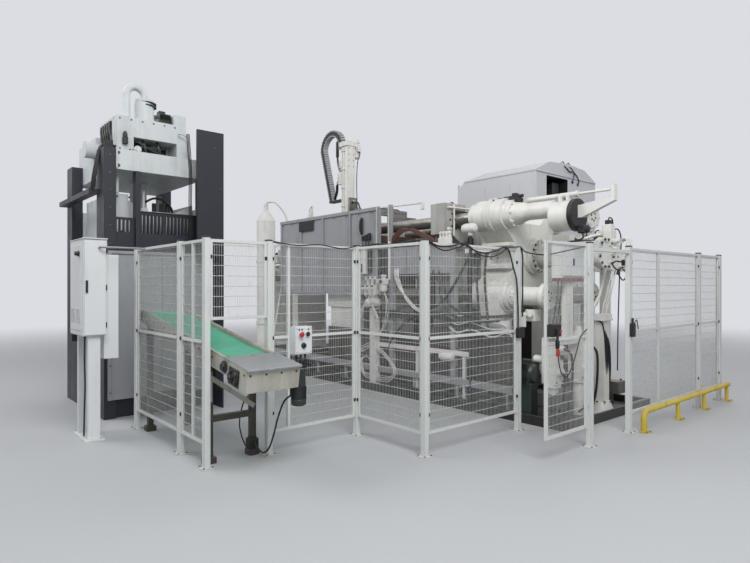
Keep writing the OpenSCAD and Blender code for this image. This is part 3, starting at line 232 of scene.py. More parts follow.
@dataclass(frozen=True)
class Moulded:
    """Moulded plastic or rubber, dull, with a fine grain and a film of dust."""

    name: str
    colour: str
    dust: str = "#77736b"
    roughness: float = 0.55
    dusty: float = 0.35
    grain: float = 300.0

    def build(self) -> bpy.types.Material:
        """Builds the material."""
        mat, tree, place = start_material(self.name)
        blot = add(tree, "ShaderNodeTexNoise", {"Vector": place, "Scale": 6.0, "Detail": 6.0, "Roughness": 0.7})
        normal = add(tree, "ShaderNodeNewGeometry").outputs["Normal"]
        up = add(tree, "ShaderNodeSeparateXYZ", {0: normal}).outputs["Z"]
        laid = add(tree, "ShaderNodeMapRange", {"Value": up, "From Min": -0.2, "From Max": 1.0, "To Max": self.dusty})
        film = add(tree, "ShaderNodeMath", {0: laid, 1: blot}, operation="MULTIPLY")
        shade = add(tree, "ShaderNodeMix", {0: film, 6: linear(self.colour), 7: linear(self.dust)}, data_type="RGBA")
        gloss = add(tree, "ShaderNodeMapRange",
                    {"Value": blot, "To Min": self.roughness - 0.1, "To Max": self.roughness + 0.25})
        fine = add(tree, "ShaderNodeTexNoise", {"Vector": place, "Scale": self.grain, "Detail": 2.0})
        bump = add(tree, "ShaderNodeBump", {"Strength": 0.2, "Distance": 0.001, "Height": fine})
        shader = add(tree, "ShaderNodeBsdfPrincipled",
                     {"Base Color": shade.outputs[2], "Roughness": gloss, "Normal": bump})
        add(tree, "ShaderNodeOutputMaterial", {"Surface": shader})
        return mat


Finish = Enamel | BareSteel | Moulded

# Off white enamel of the castings, cylinders, pumps and valves: warm white, with grey brown runs, and the same grey
# brown as painted shade on faces that look down
IVORY = Enamel("enamel_machine_ivory", "#e9e8e2", soil_and_shade="#726c61")
# Mid grey enamel on the sheet steel guards: a flat cool grey with faint runs, duller than the castings
GUARD_GREY = Enamel("enamel_guard_grey", "#9fa0a4", soil_and_shade="#57534c")
# Pale grey enamel on the hydraulic housing's sheets: clean, and a little glossier than the guards, so its roof shines
HOUSING_GREY = Enamel("enamel_housing_grey", "#cfd1d5", wear=Wear.CLEAN, soil_and_shade="#8b877e", roughness=0.38)
# Light grey powder coat of the fence's posts, frames and wires: pale lines against what stands behind them
FENCE_GREY = Enamel("enamel_fence_grey", "#d8dbd8", wear=Wear.CLEAN, soil_and_shade="#7d786d", chips=0.4)
# Anthracite enamel of the press's columns, doors and side sheets: blue black, with pale nicks on the corners
PRESS_DARK = Enamel("enamel_press_anthracite", "#282a33", wear=Wear.CLEAN, soil_and_shade="#191919", chip="#77736a", chips=0.35)
# Pale grey enamel of the press's crown, slide and hydraulic unit: cool next to the machine's ivory, streaked with oil
PRESS_LIGHT = Enamel("enamel_press_pale_grey", "#d7dcdd", soil_and_shade="#6f6b62")
# Beige grey enamel of the conveyor's frame: dirty along its length and brown with rust where it is chipped
CONVEYOR_BEIGE = Enamel("enamel_conveyor_beige", "#b9b8ac", wear=Wear.HARD, soil_and_shade="#5f4c37", chip="#6b3f22", chips=0.9)
# Brown grey enamel on the conveyor's legs: dark and dull below the pale frame
LEG_BROWN = Enamel("enamel_leg_brown", "#453f34", soil_and_shade="#26231e", chip="#6f6a60")
# Dark green enamel of the electric motors: near black, with a soft shine on the fins
MOTOR_GREEN = Enamel("enamel_motor_green", "#26322d", soil_and_shade="#191a18", roughness=0.3)
# Safety yellow enamel of the guard rail: a warm yellow, knocked to dark steel at the corners by lorries
RAIL_YELLOW = Enamel("enamel_rail_yellow", "#d9bf3e", soil_and_shade="#5d5232", chip="#3b3a38", chips=0.9)
# Oil soaked grey enamel of the machine's bed: mottled, and dark as painted shade, so the underside reads darker than
# the castings on it
BED_GREY_AND_SHADE = Enamel("enamel_bed_grey_and_shade", "#66635f", wear=Wear.HARD, soil_and_shade="#2f2a25")
# Brown grey enamel of the sheets beside the die space: a dull brown dark behind the fence, painted shade over the bed
# there
SHADE_SHEET_BROWN = Enamel("enamel_shade_sheet_brown", "#4f4a45", wear=Wear.HARD, soil_and_shade="#26221e")
# Black enamel of the drip tray, wet with oil: black with a low sheen along the floor
TRAY_BLACK = Enamel("enamel_tray_black", "#2b2a28", wear=Wear.HARD, soil_and_shade="#15130f", roughness=0.3)
# White powder coat of the switch cabinets and button boxes: the cleanest and whitest faces of the cell
CABINET_WHITE = Enamel("enamel_cabinet_white", "#e2e4e5", wear=Wear.CLEAN, soil_and_shade="#98948a", chips=0.15)
# Light grey enamel of the moving platen: greyed and blotched brown by die spray
PLATEN_GREY = Enamel("enamel_platen_grey", "#b5b5b0", wear=Wear.HARD, soil_and_shade="#4c4339")
# Oxide red enamel of the strip under the terminal cabinet: a thin dull red line
STRIP_RED = Enamel("enamel_strip_oxide_red", "#7a4146")
# Ground and greased steel of the tie bars and the closing rod: bright on top, with brown greasy blots and brown
# painted shade along the underside
TIE_BAR_STEEL = BareSteel("steel_tie_bar_ground", "#b3afa8")
# Milled steel of the shot cylinder and the spray unit's arm: a broken grey shine across the tool marks
PLATEN_STEEL = BareSteel("steel_platen_milled", "#a5a4a0", grease_and_shade_share=0.5, grain=(120.0, 120.0, 8.0))
# Tool steel of the dies, stained by heat: a brown grey that shines in patches
DIE_STEEL = BareSteel("steel_die_heat_stained", "#7d6f66", grease_and_shade="#3a2c24", grease_and_shade_share=0.7, grain=(120.0, 8.0, 120.0))
# Oiled steel of the press's bolster and of small clamps: dark grey with a smeared shine
BOLSTER_STEEL = BareSteel("steel_bolster_oiled", "#6b6a68", grease_and_shade_share=0.5, grain=(10.0, 160.0, 160.0))
# Blacked steel of bolts and washers: dark dots on the enamel, each with a small glint
BOLT_STEEL = BareSteel("steel_bolt_blacked", "#6a6864", grease_and_shade_share=0.4)
# Zinc coated sheet and conduit: a matt, cool and even grey
GALVANISED = BareSteel("steel_galvanised_sheet", "#a3a5a7", grease_and_shade="#6b6a66", roughness=0.5, grease_and_shade_share=0.45,
                       grain=(30.0, 30.0, 30.0))
# Black rubber of hoses and cable sheaths: dull black lines, greyed by dust on top
HOSE_RUBBER = Moulded("rubber_hose_black", "#191919", roughness=0.5)
# Rust brown rubber of the die's cooling hoses: matt, and the one warm colour between the tie bars
HOSE_BROWN = Moulded("rubber_hose_rust_brown", "#5b3a30", roughness=0.6)
# Black plastic of locks, caps and handles: black with a soft, wide highlight
LOCK_BLACK = Moulded("plastic_lock_black", "#1c1d1e", roughness=0.45)
# Black plastic of the energy chain's band: charcoal, so its edges stay clear of the links
CHAIN_BLACK = Moulded("plastic_chain_black", "#2e3032", roughness=0.5)
# Grey plastic of the energy chain's cross links: pale dusty steps along the dark band
CHAIN_GREY = Moulded("plastic_chain_grey", "#a9acae", roughness=0.5, dusty=0.5)
# Red plastic of the stop button and the gate's grip: the only strong red, small and clean
SIGNAL_RED = Moulded("plastic_signal_red", "#b8322a", roughness=0.4, dusty=0.15)
# Green rubber cloth of the conveyor belt: a fresh blue green, dulled by dust, with a low sheen down the slope
BELT_GREEN = Moulded("rubber_belt_green", "#43b590", dust="#5d6a5e", roughness=0.42, dusty=0.55, grain=180.0)


class Palette:
    """Builds each finish once, when a piece first asks for it."""

    def __init__(self) -> None:
        """Starts with no material built."""
        self._made: dict[str, bpy.types.Material] = {}

    def __call__(self, finish: Finish) -> bpy.types.Material:
        """Gives the material of a finish."""
        if finish.name not in self._made:
            self._made[finish.name] = finish.build()
        return self._made[finish.name]


PAINTS = Palette()


# Sides of a tube, and how many rings lie between two points of its route
TUBE_SIDES, TUBE_STEPS = 10, 6
# A crimped fitting's profile, along and across, for a hose with a radius of 1
FITTING = ((0.0, 0.9), (1.5, 1.7), (3.0, 1.7), (3.2, 1.35), (6.0, 1.3))


def angles(count: int) -> list[float]:
    """Gives equal turns around a circle."""
    return [2 * math.pi * k / count for k in range(count)]


class Forge:
    """Collects solids in one mesh and turns them into one piece."""

    def __init__(self) -> None:
        """Starts with an empty mesh."""
        self.bm = bmesh.new()

    def block(self, low: Triple, high: Triple, bevel: float = 0.004, turn: Matrix | None = None) -> None:
        """Adds a box with softened edges.

        Args:
            low: Its lowest corner.
            high: Its highest corner.
            bevel: Width of the edge's chamfer.
            turn: A matrix that the box is moved by.
        """
        size = Vector(high) - Vector(low)
        mid = (Vector(high) + Vector(low)) / 2
        made = bmesh.ops.create_cube(self.bm, size=1.0, matrix=Matrix.Translation(mid) @ Matrix.Diagonal((*size, 1)))
        verts = made["verts"]
        width = min(bevel, min(size) * 0.3)
        edges = list({e for v in verts for e in v.link_edges})
        cut = bmesh.ops.bevel(self.bm, geom=edges, offset=width, segments=1, affect="EDGES")
        if turn is not None:
            points = {v for f in cut["faces"] for v in f.verts}
            bmesh.ops.transform(self.bm, matrix=turn, verts=list(points))

    def rod(self, start: Triple, end: Triple, radius: float, sides: int = 20) -> None:
        """Adds a round bar between two points.

        Args:
            start: Centre of the first end.
            end: Centre of the second end.
            radius: Its radius.
            sides: How many sides it has.
        """
        a, b = Vector(start), Vector(end)
        turn = (b - a).to_track_quat("Z", "Y").to_matrix().to_4x4()
        bmesh.ops.create_cone(self.bm, cap_ends=True, segments=sides, radius1=radius, radius2=radius,
                              depth=(b - a).length, matrix=Matrix.Translation((a + b) / 2) @ turn)

    def tube(self, points: Iterable[Triple], radius: float) -> None:
        """Adds a tube along a smooth path through the points.

        Args:
            points: The points that it passes.
            radius: Radius of the tube.
        """
        path = smooth_path([Vector(p) for p in points], TUBE_STEPS)
        rings = []
        side = None
        for i, here in enumerate(path):
            along = (path[min(i + 1, len(path) - 1)] - path[max(i - 1, 0)]).normalized()
            if side is None:
                side = along.orthogonal().normalized()
            side = (side - along * side.dot(along)).normalized()
            other = along.cross(side)
            rings.append([self.bm.verts.new(here + radius * (side * math.cos(t) + other * math.sin(t)))
                          for t in angles(TUBE_SIDES)])
        self.skin(rings)

    def skin(self, rings: list[list[bmesh.types.BMVert]]) -> None:
        """Joins rings of corners with faces and closes both ends."""
        for ring, following in zip(rings, rings[1:]):
            for k in range(len(ring)):
                after = (k + 1) % len(ring)
                self.bm.faces.new((ring[k], ring[after], following[after], following[k]))
        self.bm.faces.new(rings[0])
        self.bm.faces.new(rings[-1])

    def turned(self, start: Triple, axis: Triple, profile: Sequence[tuple[float, float]], sides: int = 24) -> None:
        """Adds a body turned on a lathe.

        Args:
            start: Where its axis begins.
            axis: Its direction.
            profile: How far along the axis each ring lies, and its radius.
            sides: How many sides it has.
        """
        place = stand(start, axis)
        self.skin([[self.bm.verts.new(place @ Vector((radius * math.cos(t), radius * math.sin(t),
                                                      along))) for t in angles(sides)] for along, radius in profile])

    def plate(self, outline: Sequence[tuple[float, float]], thickness: float, place: Matrix) -> None:
        """Adds a plate cut to an outline.

        Args:
            outline: Its corners in its own XY plane.
            thickness: Its thickness, along its own Z.
            place: Where it goes.
        """
        self.skin([[self.bm.verts.new(place @ Vector((x, y, z))) for x, y in outline] for z in (0.0, thickness)])

    def take(self, mesh: bpy.types.Mesh, place: Matrix) -> None:
        """Adds a pattern's mesh at its place."""
        mesh.transform(place)
        self.bm.from_mesh(mesh)
        bpy.data.meshes.remove(mesh)

    def ring(self, centre: Triple, axis: Triple, circle: float, count: int, head: float) -> None:
        """Adds a ring of hexagon heads with washers on a face."""
        self.take(PATTERNS(ring_of_heads).run(Count=count, Circle=circle, Radius=head), stand(centre, axis))

    def row(self, start: Triple, end: Triple, axis: Triple, count: int, head: float) -> None:
        """Adds a row of hexagon heads with washers on a face, from one place to another."""
        run = Vector(end) - Vector(start)
        pitch = run.length / max(count - 1, 1)
        self.take(PATTERNS(hexagon_heads).run(Count=count, Pitch=pitch, Radius=head), stand(start, axis, run))

    def slats(self, start: Triple, end: Triple, axis: Triple, count: int, size: Triple, tilt: float = 0.0) -> None:
        """Adds a row of slats or fins.

        Args:
            start: Centre of the first slat.
            end: Centre of the last slat.
            axis: Normal of the face that they stand on.
            count: How many there are.
            size: A slat's thickness along the row, its length across it, and its depth.
            tilt: How far each leans, as an angle.
        """
        run = Vector(end) - Vector(start)
        mesh = PATTERNS(slat_tree).run(Count=count, Pitch=run.length / max(count - 1, 1), Size=tuple(size), Tilt=tilt)
        self.take(mesh, stand(start, axis, run))

    def hose(self, points: Sequence[Triple], radius: float) -> None:
        """Adds a hose along its route, with a crimped fitting at each end."""
        self.tube(points, radius)
        path = [Vector(p) for p in points]
        for end, inner in ((path[0], path[1]), (path[-1], path[-2])):
            along = (inner - end).normalized()
            self.turned(end - along * radius, along, [(radius * a, radius * r) for a, r in FITTING], 12)

    def write(self, name: str, finish: Finish, slot: str, body: str = ROOT) -> None:
        """Turns what was collected into one piece that rides on a body.

        Args:
            name: Name of the piece.
            finish: Its finish.
            slot: Not used.
            body: The body that carries it.
        """
        bmesh.ops.recalc_face_normals(self.bm, faces=self.bm.faces[:])
        mesh = bpy.data.meshes.new(name)
        self.bm.to_mesh(mesh)
        self.bm.free()
        settle(mesh, name, finish, body)


def stand(at: Triple, axis: Triple, along: Triple | None = None) -> Matrix:
    """Gives the place of a shape whose Z is an axis and whose X runs along a line.

    Args:
        at: Where its origin goes.
        axis: Where its Z points.
        along: Where its X points, any way across the axis if it is left out.

    Returns:
        The matrix that moves it there.
    """
    up = Vector(axis).normalized()
    run = (Vector(along) if along is not None else up.orthogonal()).normalized()
    side = up.cross(run)
    return Matrix.Translation(at) @ Matrix((run, side, up)).transposed().to_4x4()


def settle(mesh: bpy.types.Mesh, name: str, finish: Finish, body: str = ROOT) -> None:
    """Links a finished mesh as a piece.

    Args:
        mesh: The mesh, in the cell's frame.
        name: Name of the piece.
        finish: Its finish.
        body: The body that carries it.
    """
    mesh.materials.clear()
    mesh.materials.append(PAINTS(finish))
    for polygon in mesh.polygons:
        polygon.use_smooth = True
        polygon.material_index = 0
    mesh.set_sharp_from_angle(angle=SHARP_FROM)
    piece = bpy.data.objects.new(name, mesh)
    bpy.context.scene.collection.objects.link(piece)
    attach(piece, body)
    LOG.info("%s: %d faces on %s", name, len(mesh.polygons), body)


def smooth_path(points: list[Vector], steps: int) -> list[Vector]:
    """Gives a smooth path through points.

    Args:
        points: The points in order.
        steps: How many stretches lie between two points.

    Returns:
        The path's own points.
    """
    ends = [points[0] * 2 - points[1], *points, points[-1] * 2 - points[-2]]
    path = []
    for p0, p1, p2, p3 in zip(ends, ends[1:], ends[2:], ends[3:]):
        for i in range(steps):
            t = i / steps
            path.append(0.5 * (2 * p1 + (p2 - p0) * t + (2 * p0 - 5 * p1 + 4 * p2 - p3) * t**2
                               + (3 * p1 - p0 - 3 * p2 + p3) * t**3))
    path.append(points[-1])
    return path


# A hexagon head's height, and its washer's radius and height, for a head with a radius of 1
HEAD_HEIGHT, WASHER_RADIUS, WASHER_HEIGHT = 1.4, 1.35, 0.5


class Tree:
    """A Geometry Nodes tree with named sizes, turned into a plain mesh when it is run."""

    def __init__(self, name: str, **sizes: str) -> None:
        """Starts the tree.

        Args:
            name: Name of the tree.
            sizes: The kind of socket of each input.
        """
        self.tree = bpy.data.node_groups.new(name, "GeometryNodeTree")
        face = self.tree.interface
        self.keys: dict[str, str] = {}
        for size, kind in sizes.items():
            self.keys[size] = face.new_socket(size, in_out="INPUT", socket_type=f"NodeSocket{kind}").identifier
        face.new_socket("Mesh", in_out="OUTPUT", socket_type="NodeSocketGeometry")
        self.given = add(self.tree, "NodeGroupInput").outputs

    def node(self, kind: str, inputs: dict[Any, Any] | None = None, **settings: Any) -> bpy.types.Node:
        """Adds a node to the tree."""
        return add(self.tree, kind, inputs, **settings)

    def line(self) -> bpy.types.Node:
        """Gives points along X, as many as the count says and a pitch apart."""
        step = self.node("ShaderNodeCombineXYZ", {0: self.given["Pitch"]})
        counted = {"Count": self.given["Count"], "Offset": step}
        return self.node("GeometryNodeMeshLine", counted, mode="OFFSET")

    def heads(self, points: bpy.types.Node, radius: bpy.types.NodeSocket) -> bpy.types.Node:
        """Stands a hexagon head with its washer at each point, both sunk by half in the face."""
        head = self.node("GeometryNodeMeshCylinder", {"Vertices": 6, "Radius": radius, "Depth": 1.0})
        washer = self.node("GeometryNodeMeshCylinder", {"Vertices": 12, "Radius": 1.0, "Depth": 1.0})
        tall, wide, thin = (self.node("ShaderNodeMath", {0: radius, 1: share},
                                      operation="MULTIPLY") for share in (HEAD_HEIGHT, WASHER_RADIUS, WASHER_HEIGHT))
        high = self.node("ShaderNodeCombineXYZ", {0: 1.0, 1: 1.0, 2: tall})
        flat = self.node("ShaderNodeCombineXYZ", {0: wide, 1: wide, 2: thin})
        both = self.node("GeometryNodeJoinGeometry")
        for part, size in ((head, high), (washer, flat)):
            moved = self.node("GeometryNodeTransform", {0: part.outputs["Mesh"], "Scale": size})
            self.tree.links.new(moved.outputs[0], both.inputs[0])
        return self.node("GeometryNodeInstanceOnPoints", {"Points": points, "Instance": both})

    def close(self, geometry: bpy.types.Node, finish: Finish) -> None:
        """Ends the tree by realizing what it instances and setting its material."""
        real = self.node("GeometryNodeRealizeInstances", {0: geometry})
        painted = self.node("GeometryNodeSetMaterial", {0: real, "Material": PAINTS(finish)})
        self.node("NodeGroupOutput", {0: painted})

    def run(self, source: bpy.types.ID | None = None, **sizes: Any) -> bpy.types.Mesh:
        """Runs the tree once.

        Args:
            source: Mesh or curve data that the tree reads, if it reads any.
            sizes: A value for each input.

        Returns:
            A plain mesh.
        """
        holder = bpy.data.objects.new("holder", source or bpy.data.meshes.new("empty"))
        bpy.context.scene.collection.objects.link(holder)
        runner = holder.modifiers.new("run", "NODES")
        runner.node_group = self.tree
        for size, value in sizes.items():
            runner[self.keys[size]] = value
        shown = holder.evaluated_get(bpy.context.evaluated_depsgraph_get())
        mesh = bpy.data.meshes.new_from_object(shown)
        bpy.data.objects.remove(holder)
        return mesh


def wire_tree() -> Tree:
    """Builds the tree of a row of upright wires along X, from the origin."""
    tree = Tree("upright_wires", Count="Int", Pitch="Float", Height="Float", Radius="Float")
    size = {"Vertices": 5, "Radius": tree.given["Radius"], "Depth": tree.given["Height"]}
    wire = tree.node("GeometryNodeMeshCylinder", size)
    spread = tree.node("GeometryNodeInstanceOnPoints", {"Points": tree.line(), "Instance": wire.outputs["Mesh"]})
    tree.close(spread, FENCE_GREY)
    return tree


def link_tree() -> Tree:
    """Builds the tree of box links along a curve."""
    tree = Tree("chain_links", Path="Geometry", Pitch="Float", Size="Vector")
    laid = {"Curve": tree.given["Path"], "Length": tree.given["Pitch"]}
    spots = tree.node("GeometryNodeCurveToPoints", laid, mode="LENGTH")
    link = tree.node("GeometryNodeMeshCube", {"Size": tree.given["Size"]})
    spread = tree.node("GeometryNodeInstanceOnPoints",
                       {"Points": spots, "Instance": link, "Rotation": spots.outputs["Rotation"]})
    tree.close(spread, CHAIN_GREY)
    return tree


def hexagon_heads() -> Tree:
    """Builds the tree of a row of hexagon heads along X, standing on the XY plane."""
    tree = Tree("row_of_heads", Count="Int", Pitch="Float", Radius="Float")
    tree.close(tree.heads(tree.line(), tree.given["Radius"]), BOLT_STEEL)
    return tree


def ring_of_heads() -> Tree:
    """Builds the tree of a circle of hexagon heads, standing on the XY plane."""
    tree = Tree("ring_of_heads", Count="Int", Circle="Float", Radius="Float")
    ring = tree.node("GeometryNodeMeshCircle", {"Vertices": tree.given["Count"], "Radius": tree.given["Circle"]})
    tree.close(tree.heads(ring, tree.given["Radius"]), BOLT_STEEL)
    return tree


def slat_tree() -> Tree:
    """Builds the tree of a row of slats or fins along X, which lean by an angle."""
    tree = Tree("slats", Count="Int", Pitch="Float", Size="Vector", Tilt="Float")
    slat = tree.node("GeometryNodeMeshCube", {"Size": tree.given["Size"]})
    lean = tree.node("ShaderNodeCombineXYZ", {1: tree.given["Tilt"]})
    turn = tree.node("FunctionNodeEulerToRotation", {0: lean})
    spread = tree.node("GeometryNodeInstanceOnPoints", {"Points": tree.line(), "Instance": slat, "Rotation": turn})
    tree.close(spread, CABINET_WHITE)
    return tree


class Patterns:
    """The trees of what repeats on many pieces, each built when it is first needed."""

    def __init__(self) -> None:
        """Starts with no tree built."""
        self._built: dict[Callable[[], Tree], Tree] = {}

    def __call__(self, build: Callable[[], Tree]) -> Tree:
        """Gives the tree that a function builds."""
        if build not in self._built:
            self._built[build] = build()
        return self._built[build]


PATTERNS = Patterns()


# How far the knuckles of the gate leaf's hinges stand past its frame
GATE_HINGE = 0.03


@dataclass
class GuardFence:
    """The mesh guard fence: wires, post caps, clips and the cable along its top."""

    wire_pitch: float = 0.025
    wire_radius: float = 0.0019
    bar: float = 0.03
    clip_heights: tuple[float, ...] = (0.42, 1.2, 2.02)
    cable_x: float = 3.89 + 0.027
    posts: tuple[tuple[float, float], ...] = (
        (0.81, -4.895), (2.163, -4.895), (2.785, -4.895), (2.785, -4.219), (2.785, -3.055), (3.89, -3.055),
        (3.89, -1.455), (4.81, -1.455), (4.81, -0.545), (4.81, 1.605), (4.81, 2.42))
    panels: dict[str, str] = field(default_factory=lambda: {
        **{f"fence_panel_{i}": ROOT for i in range(1, 9)}, "gate_leaf": "gate"})

    def wires(self) -> None:
        """Hangs the upright wires in each panel's frame."""
        tree = wire_tree()
        for panel, body in self.panels.items():
            low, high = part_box(panel)
            if panel == "gate_leaf":
                high.y -= GATE_HINGE
            size = high - low
            along_x = size.x > size.y
            length = max(size.x, size.y) - 2 * self.bar
            count = int(length / self.wire_pitch)
            pitch = length / (count + 1)
            height = size.z - 2 * self.bar
            mesh = tree.run(Count=count, Pitch=pitch, Height=height, Radius=self.wire_radius)
            turn = Matrix.Identity(4) if along_x else Matrix.Rotation(math.pi / 2, 4, "Z")
            start = Vector((low.x, (low.y + high.y) / 2, 0)) if along_x else Vector(((low.x + high.x) / 2, low.y, 0))
            shift = Vector((self.bar + pitch, 0.0, low.z + self.bar + height / 2))
            mesh.transform(Matrix.Translation(start) @ turn @ Matrix.Translation(shift))
            settle(mesh, f"{panel}_wires", FENCE_GREY, body)

    def fittings(self) -> None:
        """Adds clamps where the panels meet the posts, caps on the posts and anchors at their feet."""
        clamps = Forge()
        anchors = Forge()
        for i in range(1, 9):
            low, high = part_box(f"fence_panel_{i}")
            along_x = high.x - low.x > high.y - low.y
            mid = (low + high) / 2
            for z in [h for h in self.clip_heights if h > low.z]:
                for end in (low, high):
                    x = end.x if along_x else mid.x
                    y = mid.y if along_x else end.y
                    clamps.block((x - 0.024, y - 0.024, z - 0.018), (x + 0.024, y + 0.024, z + 0.018))
        for x, y in self.posts:
            clamps.block((x - 0.032, y - 0.032, 2.196), (x + 0.032, y + 0.032, 2.216), 0.006)
            for side in (-1, 1):
                anchors.row((x + side * 0.048, y - 0.045, 0.012), (x + side * 0.048, y + 0.045, 0.012), UP, 2, 0.009)
        clamps.write("fence_clamps_and_caps", LOCK_BLACK, "lock_plastic")
        anchors.write("fence_anchor_bolts", BOLT_STEEL, "fence_paint")

    def cables(self) -> None:
        """Hangs the interlock cables under the top frames and down the posts."""
        black = Forge()
        front = self.cable_x
        level = ((-3.02, 2.19), (-2.86, 2.15), (-2.66, 2.165), (-2.5, 2.20), (-2.3, 2.13), (-2.1, 2.11), (-1.9, 2.15),
                 (-1.75, 2.19), (-1.66, 2.14), (-1.58, 1.95))
        drop = ((-1.53, 1.8), (-1.5, 1.45), (-1.5, 1.2))
        black.tube([*((front, y, z) for y, z in level), *((front + 0.01, y, z) for y, z in drop)], 0.009)
        black.tube([(front, y, z) for y, z in ((-3.02, 2.18), (-2.8, 2.11), (-2.58, 2.15), (-2.42, 2.185),
                                               (-2.22, 2.09), (-2.0, 2.07), (-1.82, 2.12), (-1.68, 2.19),
                                               (-1.5, 2.2))], 0.007)
        # Along the header of the doorway and down its post
        black.tube([(3.93, -1.44, 2.2), (4.0, -1.43, 2.14), (4.25, -1.43, 2.1), (4.5, -1.43, 2.13),
                    (4.76, -1.44, 2.17)], 0.008)
        black.tube([(3.925, -1.44, 2.2), (3.935, -1.42, 2.1), (3.935, -1.42, 1.9), (3.935, -1.42, 1.6),
                    (3.93, -1.42, 1.25)], 0.009)
        # Over the passage panels at the conveyor
        black.tube([(2.8, -4.19, 2.2), (2.83, -3.9, 2.17), (2.83, -3.6, 2.19), (2.83, -3.3, 2.16),
                    (2.83, -3.09, 2.2)], 0.007)
        black.tube([(2.82, -3.02, 2.2), (3.1, -3.025, 2.21), (3.4, -3.02, 2.19), (3.7, -3.025, 2.215),
                    (3.86, -3.02, 2.2)], 0.011)
        for y in (-2.98, -2.5, -2.42, -1.72):
            black.block((front - 0.03, y - 0.006, 2.165), (front + 0.012, y + 0.006, 2.2), 0.003)
        black.block((front - 0.005, -1.53, 1.12), (front + 0.04, -1.4, 1.24), 0.006)
        # Door switch on the post beyond the opening
        black.block((4.835, -0.585, 1.14), (4.885, -0.52, 1.3), 0.006)
        black.rod((4.86, -0.55, 1.3), (4.86, -0.55, 1.36), 0.012, 12)
        black.tube([(4.86, -0.53, 1.28), (4.87, -0.49, 1.33), (4.85, -0.42, 1.33), (4.83, -0.36, 1.27),
                    (4.815, -0.3, 1.2)], 0.006)
        black.block((4.745, -0.6, 1.98), (4.78, -0.5, 2.05))
        black.tube([(4.76, -0.6, 2.02), (4.72, -0.68, 2.03), (4.7, -0.72, 1.99), (4.73, -0.66, 1.93),
                    (4.76, -0.58, 1.96)], 0.009)
        black.write("fence_cables", HOSE_RUBBER, "lock_plastic")

    def gate_fittings(self) -> None:
        """Adds the interlock's cover, cable, screws and red grip, which swing with the gate."""
        low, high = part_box("gate_lock")
        trim = Forge()
        trim.block((low.x - 0.012, low.y + 0.02, low.z + 0.075), (low.x + 0.064, high.y - 0.01, high.z + 0.006),
                   0.008)
        trim.tube([(low.x + x, high.y + y, low.z + z) for x, y, z in (
            (0.03, -0.02, 0.03), (0.03, -0.01, -0.06), (0.02, 0.02, -0.2), (0.012, 0.09, -0.33), (0.012, 0.2, -0.36),
            (0.012, 0.33, -0.2), (0.012, 0.45, 0.02), (0.012, 0.58, 0.1))], 0.006)
        trim.turned((low.x + 0.03, high.y - 0.02, low.z + 0.02), DOWN,
                    ((0, 0.012), (0.01, 0.022), (0.075, 0.02), (0.1, 0.012)), 12)
        trim.row((low.x + 0.066, low.y + 0.04, high.z - 0.02), (low.x + 0.066, high.y - 0.03, high.z - 0.02), ALONG,
                 2, 0.006)
        trim.write("gate_lock_fittings", LOCK_BLACK, "lock_plastic", "gate")
        grip = Forge()
        grip.turned((low.x + 0.075, low.y + 0.075, low.z - 0.058), DOWN,
                    ((0, 0.01), (0.004, 0.017), (0.06, 0.02), (0.075, 0.012)), 16)
        grip.rod((low.x + 0.05, low.y + 0.115, low.z + 0.11), (low.x + 0.085, low.y + 0.115, low.z + 0.11), 0.016, 18)
        grip.write("gate_lock_grip", SIGNAL_RED, "lock_plastic", "gate")

    def build(self) -> None:
        """Builds the fence's fine parts."""
        self.wires()
        self.fittings()
        self.cables()
        self.gate_fittings()


@dataclass
class OperatorBox:
    """The button box on the fence, with its lid, buttons, selector and glands."""

    def build(self) -> None:
        """Adds what stands on the box."""
        low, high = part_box("operator_box")
        face = low.x + 0.11
        lid = Forge()
        lid.block((face - 0.022, low.y + 0.004, low.z + 0.004), (face + 0.004, high.y - 0.004, high.z - 0.004), 0.008)
        lid.block((face + 0.003, low.y + 0.05, high.z - 0.085), (face + 0.006, high.y - 0.05, high.z - 0.045), 0.001)
        lid.write("operator_box_lid", CABINET_WHITE, "box_paint")
        black = Forge()
        for y in (low.y + 0.045, low.y + 0.08, high.y - 0.05):
            black.rod((face, y, high.z - 0.03), (face + 0.01, y, high.z - 0.03), 0.008, 14)
        black.turned((face, low.y + 0.1, low.z + 0.09), ALONG,
                     ((0, 0.028), (0.006, 0.032), (0.012, 0.027), (0.024, 0.023), (0.026, 0.018)))
        black.block((face + 0.02, low.y + 0.094, low.z + 0.068), (face + 0.034, low.y + 0.106, low.z + 0.112), 0.003)
        black.turned((face + 0.018, low.y + 0.145, low.z + 0.21), ALONG,
                     ((0, 0.02), (0.006, 0.026), (0.012, 0.022), (0.014, 0.01)), 20)
        for y in (low.y + 0.05, low.y + 0.105, low.y + 0.16):
            black.turned((low.x + 0.05, y, low.z + 0.004), DOWN,
                         ((0, 0.018), (0.014, 0.018), (0.02, 0.012), (0.05, 0.01)), 12)
            black.tube([(low.x + 0.05, y, low.z - 0.04), (low.x + 0.046, y, low.z - 0.07),
                        (low.x + 0.03, y, low.z - 0.1), (low.x + 0.018, y, low.z - 0.13)], 0.006)
        black.block((low.x, low.y + 0.02, low.z - 0.165), (low.x + 0.034, high.y - 0.02, low.z - 0.12), 0.005)
        black.write("operator_box_black_parts", LOCK_BLACK, "box_paint")
        red = Forge()
        red.turned((face + 0.002, low.y + 0.06, low.z + 0.21), ALONG,
                   ((0, 0.014), (0.022, 0.014), (0.026, 0.027), (0.036, 0.029), (0.042, 0.02)))
        red.write("operator_box_stop_button", SIGNAL_RED, "box_paint")
        screws = Forge()
        for y in (low.y + 0.018, high.y - 0.018):
            screws.row((face + 0.002, y, low.z + 0.02), (face + 0.002, y, high.z - 0.02), ALONG, 2, 0.005)
        screws.write("operator_box_screws", BOLT_STEEL, "box_paint")


